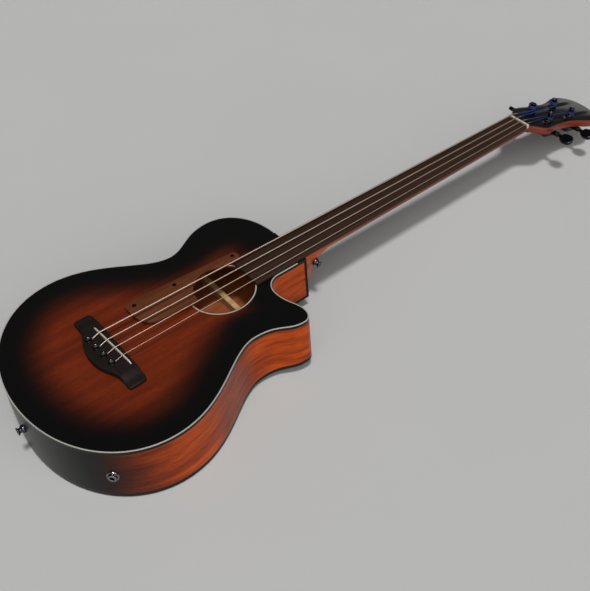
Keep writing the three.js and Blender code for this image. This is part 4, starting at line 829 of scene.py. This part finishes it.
def bridge_block():
    loop = bridge_loop()
    stations = [2.0 * step for step in range(-35, 36)]
    stations = [-y for y in reversed(bridge_end_stations)] + stations + list(bridge_end_stations)
    rings = []
    for y in stations:
        rear, front = span_at(loop, y)
        height = bridge_height(y)
        edge = min(bridge_edge, (front - rear) / 4, height / 3)
        high = top_z + height - edge
        section = [(rear, bridge_low), (front, bridge_low)]
        section += arc(front - edge, high, edge, 0, 90, 3) + arc(rear + edge, high, edge, 90, 180, 3)
        rings.append([(x, y, z) for x, z in section])
    return loft("bridge_block", rings)


def saddle_strip(low):
    half_long, half_wide = saddle_length / 2, saddle_thickness / 2
    rings = []
    for step in range(saddle_steps + 1):
        y = -half_long + saddle_length * step / saddle_steps
        rounding = 1 - math.sin(math.pi / 2 * min(1.0, (half_long - abs(y)) / saddle_shoulder))
        crown = saddle_top - saddle_end_drop * rounding - saddle_arch * (y / half_long) ** 2
        rings.append([(-half_wide, y, low), (half_wide, y, low)]
                     + [(half_wide * share, y, crown - drop) for share, drop in saddle_edge])
    return loft("saddle_bone", rings)


def bridge_pieces():
    turn = Matrix.Rotation(math.radians(saddle_slant), 4, "Z")
    neck = top_z + bridge_thickness
    slot_floor = neck - saddle_slot_depth
    slot_half, slot_reach = saddle_thickness / 2 + saddle_slot_side, saddle_length / 2 + saddle_slot_end
    slot = block("slot", (-slot_half, -slot_reach, slot_floor), (slot_half, slot_reach, neck + cut_past))
    bridge = carve(bridge_block(), [placed(slot, turn)])
    finish(bridge, bridge_walnut, "bridge")
    saddle = placed(saddle_strip(slot_floor + seat_gap + pickup_thickness + seat_gap), turn)
    finish(saddle, cut_bone, "saddle")

    foot = neck - pin_length
    profile = [(0, foot), (pin_tip_radius, foot), (pin_radius, neck), (pin_neck_radius, neck + seat_gap)]
    profile += [(radius, neck + rise) for radius, rise in pin_collar]
    profile += arc(0, neck + seat_gap + pin_head_radius, pin_head_radius, pin_head_from, 90, 11)
    for name, y in zip(string_names, saddle_y):
        pin = turned(name.replace("string", "pin") + "_ball", profile)
        placed(pin, Matrix.Translation((pin_x(y), y, 0)))
        finish(pin, black_abs, name.replace("string", "bridge_pin"))


def saddle_x(y):
    return -y * saddle_slope


def pin_x(y):
    return saddle_x(y) - pin_setback


# Headstock frame: s along its face, y as the body's, h out of its face

tilt = math.radians(head_tilt)
head_place = Vector((nut_x + nut_length + 2 * seat_gap + veneer_thickness * math.sin(tilt), 0,
                     top_z + head_face_rise))
head = Matrix.Translation(head_place) @ Matrix.Rotation(tilt, 4, "Y")
wood_face = -veneer_thickness - seat_gap
wood_back = wood_face - head_thickness
posts = ((post_s_near, post_y, 1), (post_s_far, post_y, 1),
         (post_s_far, -post_y, -1), (post_s_near, -post_y, -1))


# Strings: wound from the ball to just past the nut, then silk round the post

# A route through the points, with its corners bent round
def rounded(points, bend):
    route = [points[0]]
    for before, corner, after in zip(points, points[1:], points[2:]):
        enter = corner.lerp(before, min(bend_share, bend / (corner - before).length))
        leave = corner.lerp(after, min(bend_share, bend / (corner - after).length))
        route += [Vector(place) for place in bow(enter, corner, leave, string_bend_steps)] + [leave]
    route.append(points[-1])
    return route


# The stretch from the ball to the nut, and the turns round the post
def string_route(index):
    radius = string_diameters[index] / 2
    y = saddle_y[index]
    across = pin_x(y) + pin_radius + pin_gap + radius
    ball_high = top_under - 2 * seat_gap - bridge_plate_thickness
    nut_point = Vector((nut_x + 2 * seat_gap + nut_length, nut_y[index],
                        board_top(nut_x) + string_rise_nut + radius))
    s, post_line, side = posts[index]
    coil_radius = post_top_radius + turning_gap + radius
    away = head.inverted() @ nut_point - Vector((s, post_line, 0))
    reach = math.acos(coil_radius / math.hypot(away.x, away.y))
    first_angle = math.atan2(away.y, away.x) + side * reach
    pitch = string_diameters[index] + winding_gap
    coil = []
    for step in range(int(winding_turns * winding_steps) + 1):
        angle = first_angle + side * 2 * math.pi * step / winding_steps
        coil.append(Vector((s + coil_radius * math.cos(angle), post_line + coil_radius * math.sin(angle),
                            winding_foot + pitch * step / winding_steps)))
    run_out = coil[-1] - coil[-2]
    run_out.z = 0
    coil.append(coil[-1] + run_out.normalized() * string_diameters[index])
    coil = [head @ point for point in coil]
    corners = [Vector((across, y, ball_high)), Vector((across, y, top_z + bridge_thickness)),
               Vector((saddle_x(y) - saddle_thickness / 2 - seat_gap, y, saddle_top + seat_gap + radius)),
               nut_point, coil[0]]
    return radius, rounded(corners, string_bend)[:-1], coil


# Round wire along a route
def tube(name, route, radius):
    rings, across = [], Vector((0, 1, 0))
    for index, point in enumerate(route):
        forward = (route[min(len(route) - 1, index + 1)] - route[max(0, index - 1)]).normalized()
        across = (across - forward * across.dot(forward)).normalized()
        up = forward.cross(across)
        rings.append([point + across * c + up * s for c, s in circle(0, 0, radius, string_sides)])
    return loft(name, rings)


def string_pieces():
    for index, name in enumerate(string_names):
        radius, stretch, coil = string_route(index)
        after_nut = stretch[-1]
        silk_from = after_nut.lerp(coil[0], silk_setback / (coil[0] - after_nut).length)
        wound = tube(name + "_winding", stretch + [silk_from], radius)
        finish(wound, bronze_winding, name, angle=60.0)
        silk = tube(name + "_silk", [silk_from] + coil, radius)
        finish(silk, blue_silk, name, angle=60.0)
        ball = turned(name + "_ball", [
            (0, 0), (ball_radius - ball_rim, 0), (ball_radius, ball_rim),
            (ball_radius, ball_length - ball_rim), (ball_radius - ball_rim, ball_length),
            (0, ball_length)], ball_steps)
        placed(ball, Matrix.Translation(stretch[0] - Vector((0, 0, ball_length))))
        finish(ball, brass_ball, name)


# Finger rest, its feet and its screws

def rest_loop():
    half_corner, low_half = rest_corner / 2, -rest_low_y / 2
    return (
        bends(((rest_tail_x + rest_corner, rest_tail_half), (rest_tail_x, rest_tail_half),
               (rest_tail_x, rest_tail_half - rest_corner), 10),
              ((rest_tail_x, rest_inner_y), (rest_tail_x + half_corner, half_corner),
               (rest_low_tail_x, low_half), 16))
        + [(rest_low_tail_x, low_half), (rest_low_x, rest_low_y), (hole_x, rest_low_y),
           (hole_x, rest_inner_y)]
        + bends(((rest_head_x - half_corner, rest_inner_y), (rest_head_x, rest_inner_y),
                 (rest_head_x, rest_inner_y + half_corner), 8),
                ((rest_head_x, rest_inner_y + half_corner), (rest_head_x, rest_head_half),
                 (rest_head_x - rest_corner, rest_head_half), 12))
        + [(rest_head_x - rest_corner, rest_head_half)])


def rest_pieces():
    low = top_z + seat_gap + rest_gap
    high = low + rest_thickness
    leaf = plate("rest_leaf", [rest_loop()], low, high)
    bite = rod("bite", rest_hole_radius, low - cut_past, high + cut_past, rest_bite_steps)
    carve(leaf, [placed(bite, Matrix.Translation((hole_x, 0, 0)))])
    soften(leaf, *rest_edge)
    finish(leaf, rest_walnut, "finger_rest")
    foot_bore, foot_low, foot_high = rest_screw_radius + pin_gap, top_z + seat_gap, low + rest_foot_lap
    head_low = high + seat_gap
    for number, (x, y) in enumerate(rest_screw_places, 1):
        foot = turned(f"rest_foot_{number}", [
            (foot_bore, foot_low), (rest_foot_radius, foot_low), (rest_foot_radius, foot_high),
            (foot_bore, foot_high)])
        placed(foot, Matrix.Translation((x, y, 0)))
        finish(foot, black_abs, "finger_rest")
        screw = turned(f"rest_screw_{number}", [
            (0, top_under + seat_gap), (rest_screw_radius, top_under + rest_screw_tip),
            (rest_screw_radius, head_low)]
            + [(rest_screw_head * share, head_low + rise) for share, rise in rest_screw_dome])
        carve(screw, [block("blade", (-x_half, -y_half, head_low + screw_cross_floor),
                            (x_half, y_half, head_low + cut_past))
                      for x_half, y_half in ((screw_cross_long, screw_cross_wide),
                                             (screw_cross_wide, screw_cross_long))])
        turn = Matrix.Rotation(math.radians(screw_cross_turn * number), 4, "Z")
        placed(screw, Matrix.Translation((x, y, 0)) @ turn)
        finish(screw, blued_steel, f"finger_rest_screw_{number}")


# Fretboard, nut, neck and headstock

def board_pieces():
    rings = []
    for step in range(board_steps + 1):
        x = board_end_x + (nut_x - board_end_x) * step / board_steps
        edge, low, middle = board_half(x), board_under(x), board_top(x) - board_radius
        flat = edge - board_rim
        rim_z = middle + math.sqrt(board_radius ** 2 - edge * edge) - board_rim
        section = [(edge, low), (-edge, low)] + arc(-flat, rim_z, board_rim, 180, 120, 2)
        section += [(y, middle + math.sqrt(board_radius ** 2 - y * y))
                    for y in (flat * share / 8 for share in range(-8, 9))]
        section += arc(flat, rim_z, board_rim, 60, 0, 2)
        rings.append([(x, y, z) for y, z in section])
    finish(loft("fretless_board", rings), board_walnut, "fretboard")


def nut_pieces():
    front, back = nut_x + seat_gap, nut_x + seat_gap + nut_length
    low, top = neck_top(back) + seat_gap, board_top(nut_x) + nut_rise
    side = [(front, low), (back, low), (back, top - nut_back_drop)]
    side += bow((back, top - nut_back_drop), (back - nut_bend_in, top - nut_bend_drop),
                (front + nut_flat, top), 6)
    side += [(front + nut_flat, top), (front, top)]
    nut = loft("nut_bone", [[(x, y, z) for x, z in side] for y in (-board_half_nut, board_half_nut)])
    saws = []
    for y, diameter in zip(nut_y, string_diameters):
        reach = diameter / 2 + seat_gap / 2
        groove = arc(y, board_top(nut_x) + string_rise_nut + diameter / 2, reach, 180, 360, 9)
        groove += [(y + reach, top + cut_past), (y - reach, top + cut_past)]
        saws.append(loft("saw", [[(x, across, z) for across, z in groove]
                                 for x in (front - cut_past, back + cut_past)]))
    carve(nut, saws)
    soften(nut, *nut_edge)
    finish(nut, cut_bone, "nut")


def head_loop():
    stops = [(0.0, board_half_nut), (head_ear_s, head_ear_half), (head_waist_s, head_waist_half),
             (head_tip_s, head_tip_half)]
    shares, end = (head_ear_shares, head_side_shares, head_tip_shares), (head_end_s, head_end_y)
    treble = [(s, -y) for s, y in reversed(stops)]
    loop = []
    for a, b, share in zip(stops, stops[1:], shares):
        loop += ease(a, b, 0, 0, share)
    loop += ease(stops[-1], end, 0, 1, head_end_shares)
    loop += ease(end, treble[0], 1, 0, backwards(head_end_shares))
    for a, b, share in zip(treble, treble[1:], reversed(shares)):
        loop += ease(a, b, 0, 0, backwards(share))
    return loop + treble[-1:]


# Headstock board with the tuners' four bores
def head_plate(name, low, high, edge=0.0):
    bores = [circle(s, y, bushing_radius + pin_gap, 40) for s, y, side in posts]
    return placed(plate(name, [head_loop()] + bores, low, high, edge), head)


# Reach and half width of the heel at each height, on a smooth curve through its given places
def heel_places():
    heel_z, foot_z = neck_top(joint_x) - heel_drop, back_height(joint_x, 0)
    corners = [Vector((heel_run * reach, board_half(neck_start) * half_share,
                       heel_z + (foot_z - heel_z) * drop))
               for reach, half_share, drop in zip(heel_reach_shares, heel_half_shares, heel_drop_shares)]
    corners = [corners[0] * 2 - corners[1]] + corners + [corners[-1] * 2 - corners[-2]]
    run = []
    for a, b, c, d in zip(corners, corners[1:], corners[2:], corners[3:]):
        gap = [math.sqrt((q - p).length) for p, q in ((a, b), (b, c), (c, d))]
        leave = ((b - a) / gap[0] - (c - a) / (gap[0] + gap[1]) + (c - b) / gap[1]) * gap[1]
        reach = ((c - b) / gap[1] - (d - b) / (gap[1] + gap[2]) + (d - c) / gap[2]) * gap[1]
        for step in range(heel_steps):
            t = step / heel_steps
            run.append(b * (2 * t ** 3 - 3 * t * t + 1) + leave * (t ** 3 - 2 * t * t + t)
                       + c * (3 * t * t - 2 * t ** 3) + reach * (t ** 3 - t * t))
    return run + [corners[-2]]


# The heel's rounded outline at one height
def half_round(reach, half_width, z):
    return [(neck_start + reach * c, half_width * s, z) for c, s in arc(0, 0, 1, -90, 90, 24)]


def neck_depth(x):
    share = (min(x, nut_x) - neck_start) / (nut_x - neck_start)
    return neck_depth_heel + (neck_depth_nut - neck_depth_heel) * share


# Height at x of the plane that lies a given way out of the headstock's face
def face_z(x, rise):
    return head_place.z - (x - head_place.x) * math.tan(tilt) + rise / math.cos(tilt)


def neck_shaft():
    shaft_end = (face_z(0, wood_back) - neck_top(0) + neck_depth(nut_x)) / (math.tan(tilt) - board_slope)
    stations = [neck_start + (nut_x - neck_start) * step / shaft_steps for step in range(shaft_steps + 1)]
    rings = []
    for x in stations + [head_place.x, shaft_end]:
        high = min(neck_top(x), face_z(x, wood_face))
        depth, half = high - (neck_top(x) - neck_depth(x)), board_half(min(x, nut_x))
        rings.append([(x, half * c, high - depth * s ** shaft_roundness_share)
                      for c, s in arc(0, 0, 1, 0, 180, shaft_sides)])
    return loft("neck_wood", rings)


def neck_pieces():
    places = list(reversed(heel_places()))
    cap_top = back_height(joint_x, 0) + heel_cap_thickness
    below = [place for place in places if place.z <= cap_top]
    above = [place for place in places if place.z > cap_top + seat_gap]
    share = (cap_top - below[-1].z) / (above[0].z - below[-1].z) if above[0].z > below[-1].z else 0
    cut = below[-1].lerp(above[0], min(1.0, share))
    neck = neck_shaft()
    heel = loft("heel_wood", [half_round(cut.x, cut.y, cap_top + seat_gap)]
                + [half_round(*place) for place in above]
                + [half_round(heel_run * heel_top_share, board_half(neck_start),
                              neck_top(neck_start + heel_run))])
    board = head_plate("head_wood", wood_back, wood_face)
    carve(board, [block("trim", (nut_x - nut_trim, -head_tip_half - cut_past, neck_top(nut_x)),
                        (nut_x + 2 * seat_gap + nut_length, head_tip_half + cut_past, top_z + nut_trim))])
    tenon = block("tenon", (joint_x - tenon_length, -tenon_half, top_z - tenon_depth),
                  (neck_start + tenon_lap, tenon_half, top_under - seat_gap))
    carve(neck, [heel, board, tenon], "UNION")
    soften(neck, *neck_edge)
    paint_spray_and_shade(neck, neck_painted_shade)
    finish(neck, neck_lacquer, "neck", angle=40.0)
    cap = loft("heel_plate", [half_round(*place) for place in below] + [half_round(cut.x, cut.y, cap_top)])
    finish(cap, black_celluloid, "heel_cap")
    veneer = head_plate("head_face", -veneer_thickness, 0.0, veneer_edge)
    finish(veneer, gloss_black_lacquer, "headstock_veneer")


# Tuners. Each has its own frame in the post: Z up the post, -X towards the worm

housing_top = wood_back - seat_gap
housing_low = housing_top - housing_depth
gear_middle = housing_top - (housing_depth - housing_wall) / 2
room_half = gear_tip_radius + housing_room
room_rear = worm_centre + worm_tip_radius + housing_room
barrel_end = barrel_reach - post_y
key_collar = barrel_end + turning_gap
key_stem = key_collar + knob_collar_length
key_foot = key_stem + knob_stem_length
worm_end = room_half - turning_gap


def rounded_box(s_low, s_high, y_low, y_high, corner):
    loop = []
    for s, y, quarter in ((s_high - corner, y_low + corner, -90), (s_high - corner, y_high - corner, 0),
                          (s_low + corner, y_high - corner, 90), (s_low + corner, y_low + corner, 180)):
        loop += arc(s, y, corner, quarter, quarter + 90, 8)
    return loop


def gear_loop():
    root, tip = tooth_root_share / 2, tooth_tip_share / 2
    corners = ((gear_root_radius, -root), (gear_tip_radius, -tip),
               (gear_tip_radius, tip), (gear_root_radius, root))
    loop = []
    for tooth in range(gear_teeth):
        for radius, share in corners:
            angle = math.pi + 2 * math.pi * (tooth + share) / gear_teeth
            loop.append((radius * math.cos(angle), radius * math.sin(angle)))
    return loop


def key_loop():
    half, quarter_long, half_long = knob_half_width, knob_length * 0.25, knob_length / 2
    return bends(((-knob_waist_half, 0), (-half, quarter_long), (-half, half_long), 12),
                 ((-half, half_long), (-half, knob_length), (0, knob_length), 12),
                 ((0, knob_length), (half, knob_length), (half, half_long), 12),
                 ((half, half_long), (half, quarter_long), (knob_waist_half, 0), 12)) + [(knob_waist_half, 0)]


def gear_case(number, mount, along):
    shell = plate(f"gear_case_{number}", [rounded_box(
        -room_rear - housing_wall, room_half + housing_wall, -room_half - housing_wall,
        room_half + housing_wall, housing_corner)], housing_low, housing_top, housing_edge)
    room = block("room", (-room_rear, -room_half, housing_low + housing_wall),
                 (room_half, room_half, housing_top + cut_past))
    stem_hole = rod("stem_hole", post_shaft_radius + turning_gap, housing_low - cut_past, housing_top)
    barrel = turned("barrel", [(0, room_half + barrel_lap), (barrel_radius, room_half + barrel_lap)]
                    + rounded_rim(barrel_radius, barrel_end, barrel_rim) + [(0, barrel_end)])
    bore = rod("bore", knob_shaft_radius + turning_gap, 0, barrel_end + cut_past)
    carve(shell, [placed(barrel, along)], "UNION")
    carve(shell, [room, stem_hole, placed(bore, along)])
    finish(placed(shell, mount), black_chrome, f"tuner_housing_{number}")


def post_and_gear(number, mount, body):
    slot_low = post_rise - post_slot_depth
    stem = turned(f"post_stem_{number}", [
        (0, housing_low), (post_shaft_radius, housing_low), (post_shaft_radius, post_foot_rise),
        (post_foot_radius - 0.3, post_foot_rise), (post_foot_radius, post_foot_rise + 0.3),
        (post_foot_radius - 0.1, winding_foot - 0.6), (post_waist_radius, winding_foot),
        (post_waist_radius, slot_low), (post_waist_radius + 0.25, post_rise - post_slot_depth * 0.8),
        (post_top_radius - 0.15, post_rise - post_slot_depth * 0.55)]
        + rounded_rim(post_top_radius, post_rise, post_rim)
        + [(post_top_radius * 0.55, post_rise), (post_top_radius * 0.45, post_rise - post_dimple),
           (0, post_rise - post_dimple)])
    slot = block("slot", (-post_slot_width / 2, -post_top_radius - cut_past, slot_low),
                 (post_slot_width / 2, post_top_radius + cut_past, post_rise + cut_past))
    wheel = plate("wheel", [gear_loop()], gear_middle - gear_width / 2, gear_middle + gear_width / 2)
    carve(stem, [wheel], "UNION")
    carve(stem, [slot])
    finish(placed(stem, mount), black_nickel, f"tuner_post_{number}", body)


def bushing(number, mount):
    bore, flange_top = post_shaft_radius + bushing_bore_gap, seat_gap + bushing_flange
    low, lap = flange_top - bushing_length, seat_gap + bushing_lap
    flange = plate(f"bushing_hex_{number}", [circle(0, 0, bushing_flange_radius, 6), circle(0, 0, bore, 32)],
                   seat_gap, flange_top, bushing_edge)
    sleeve = turned(f"bushing_sleeve_{number}", [
        (bore, low), (bushing_radius, low), (bushing_radius, lap), (bore, lap), (bore, low)])
    for piece in (flange, sleeve):
        finish(placed(piece, mount), black_nickel, f"tuner_bushing_{number}")


def key_and_worm(number, mount, along, side, body):
    node = f"tuner_knob_{number}"
    shaft = turned(f"knob_shaft_{number}", [
        (0, -worm_end), (worm_shaft_radius, -worm_end), (worm_shaft_radius, worm_end),
        (knob_shaft_radius, worm_end), (knob_shaft_radius, key_collar),
        (knob_collar_radius - 0.4, key_collar), (knob_collar_radius, key_collar + 0.4),
        (knob_collar_radius, key_stem - 0.8), (knob_collar_radius - 0.8, key_stem),
        (knob_stem_radius, key_stem + 0.2),
        (knob_stem_radius, key_foot + knob_lap), (0, key_foot + knob_lap)])
    finish(placed(shaft, mount @ along), black_chrome, node, body)
    axis = mount @ Matrix.Translation((-worm_centre, 0, gear_middle))
    thread = ((worm_shaft_radius - worm_seat, -worm_root_half), (worm_tip_radius, -worm_tip_half),
              (worm_tip_radius, worm_tip_half), (worm_shaft_radius - worm_seat, worm_root_half))
    rings = []
    for step in range(worm_turns * worm_steps + 1):
        turn = step / worm_steps - worm_turns / 2
        angle = 2 * math.pi * (turn - 0.5)
        rings.append([(radius * math.cos(angle), across + worm_lead * turn, -radius * math.sin(angle))
                      for radius, across in thread])
    worm = placed(loft(f"worm_thread_{number}", rings), axis)
    finish(worm, plain_steel, node, body)
    key = plate(f"knob_key_{number}", [key_loop()], -knob_thickness / 2, knob_thickness / 2, knob_edge)
    placed(key, axis @ Matrix.Rotation(0 if side < 0 else math.pi, 4, "Z")
           @ Matrix.Translation((0, key_foot, 0)) @ Matrix.Rotation(math.radians(knob_turn), 4, "Y"))
    finish(key, black_chrome, node, body)


def tuner_pieces():
    for number, (string, (s, y, side)) in enumerate(zip("eadg", posts), 1):
        mount = head @ Matrix.Translation((s, y, 0)) @ Matrix.Rotation(math.pi, 4, "Z")
        along = Matrix.Translation((-worm_centre, 0, gear_middle))
        along = along @ Matrix.Rotation(math.pi / 2 * side, 4, "X")
        gear_case(number, mount, along)
        post_and_gear(number, mount, f"post_{string}")
        bushing(number, mount)
        key_and_worm(number, mount, along, side, f"knob_{string}")


# Strap buttons and jack

button_turning = (
    (0, -button_screw_length - button_screw_radius), (button_screw_radius, -button_screw_length),
    (button_screw_radius, seat_gap), (button_base_radius - 0.3, seat_gap),
    (button_base_radius, seat_gap + 0.3), (button_base_radius, 2.0), (button_base_radius - 0.5, 3.0),
    (4.6, 4.0), (3.95, 5.0),
    (button_waist_radius, 6.0), (4.2, 7.0), (5.2, 7.9), (button_flange_radius - 0.3, 8.3),
    (button_flange_radius, 8.7), (button_flange_radius, 9.3), (5.6, 9.85), (3.6, button_height),
    (2.9, 9.9), (2.6, 9.4), (0, 9.4))


# Half width of the heel's flank at a place on it
def heel_flank(x, z, places):
    for above, below in zip(places, places[1:]):
        if above.z >= z > below.z:
            level = above.lerp(below, (above.z - z) / (above.z - below.z))
            return level.y * math.sqrt(1 - ((x - neck_start) / level.x) ** 2)


def strap_button(name, place, outward):
    matrix = Vector((0, 0, 1)).rotation_difference(outward).to_matrix().to_4x4()
    matrix.translation = place
    button = placed(turned(name, button_turning, 48), matrix)
    finish(button, black_nickel, "strap_button_" + name.split("_")[0])


def fitting_pieces():
    strap_button("tail_button", Vector((-tail_reach, 0, top_z - tail_button_drop)), Vector((-1, 0, 0)))
    places, z, reach = heel_places(), top_z - heel_button_drop, button_base_radius
    slope_x, slope_z = [
        (heel_flank(heel_button_x - dx, z - dz, places) - heel_flank(heel_button_x + dx, z + dz, places))
        / (2 * reach) for dx, dz in ((reach, 0), (0, reach))]
    outward = Vector((slope_x, -1, slope_z)).normalized()
    middle = Vector((heel_button_x, -heel_flank(heel_button_x, z, places), z)) + outward * heel_button_lift
    strap_button("heel_button", middle, outward)

    flange_top, collar_top = seat_gap + jack_flange, jack_flange + jack_collar
    barrel_low = jack_collar + jack_flange - jack_length
    jack = turned("jack_barrel", [
        (jack_bore_radius, barrel_low + 3), (jack_barrel_radius - 0.5, barrel_low),
        (jack_barrel_radius, barrel_low + 0.5), (jack_barrel_radius, seat_gap),
        (jack_flange_radius - 0.2, seat_gap), (jack_flange_radius, seat_gap + 0.3),
        (jack_flange_radius - 0.5, flange_top - 0.5), (jack_flange_radius - 1.4, flange_top),
        (jack_collar_radius, flange_top), (jack_collar_radius, collar_top - 0.5),
        (jack_collar_radius - 0.5, collar_top), (jack_bore_radius + 0.3, collar_top),
        (jack_bore_radius, collar_top - 0.3), (jack_bore_radius, barrel_low + 3)], 48)
    way = Vector(jack_way)
    seat = Matrix(((way.x, 0, way.y, jack_place[0]), (way.y, 0, -way.x, jack_place[1]),
                   (0, 1, 0, top_z - jack_drop), (0, 0, 0, 1)))
    finish(placed(jack, seat), nickel_painted_dark, "output_jack")


top_pieces()
side_pieces()
back_pieces()
inner_pieces()
bridge_pieces()
string_pieces()
rest_pieces()
board_pieces()
nut_pieces()
neck_pieces()
tuner_pieces()
fitting_pieces()


# Studio

camera_film, camera_lens, camera_sight = 36.0, 58.31, 20.0
camera_place, camera_turn = (-0.30310, -0.89971, 1.08164), (45.2073, 3.3867, -37.8235)
floor_radius = 14000
room_colour, room_light = "#f2f2f0", 0.1
lamps = (("overhead", (-0.06, -0.25, 1.0), 2.15, 8.0), ("front", (-0.34, -0.93, 0.45), 2.4, 100.0))


def place_camera():
    camera = linked(bpy.data.objects.new("camera", bpy.data.cameras.new("camera")))
    camera.data.sensor_width = camera_film
    camera.data.lens = camera_lens
    camera.data.clip_end = camera_sight
    camera.location = camera_place
    camera.rotation_euler = [math.radians(angle) for angle in camera_turn]
    bpy.context.scene.camera = camera


# A far, wide lamp: its light falls evenly over the floor, so no patch of it burns out
def far_lamp(name, direction, strength, width):
    lamp = bpy.data.lights.new(name, "SUN")
    lamp.energy = strength
    lamp.angle = math.radians(width)
    light = linked(bpy.data.objects.new(name, lamp))
    light.rotation_euler = Vector(direction).to_track_quat("Z", "Y").to_euler()


def studio():
    rim = [(x, y, 0) for x, y in circle(0, 0, floor_radius)]
    floor = shape_from("paper_floor", rim, [tuple(range(len(rim)))])
    floor.data.materials.append(studio_paper)
    world = bpy.data.worlds.new("studio")
    world.use_nodes = True
    bpy.context.scene.world = world
    tree = world.node_tree
    tree.nodes.clear()
    room = add_node(tree, "ShaderNodeBackground", {"Color": linear(room_colour), "Strength": room_light})
    add_node(tree, "ShaderNodeOutputWorld", {"Surface": room.outputs["Background"]})
    for lamp in lamps:
        far_lamp(*lamp)
    place_camera()
    bpy.context.scene.view_settings.view_transform = "Standard"


studio()
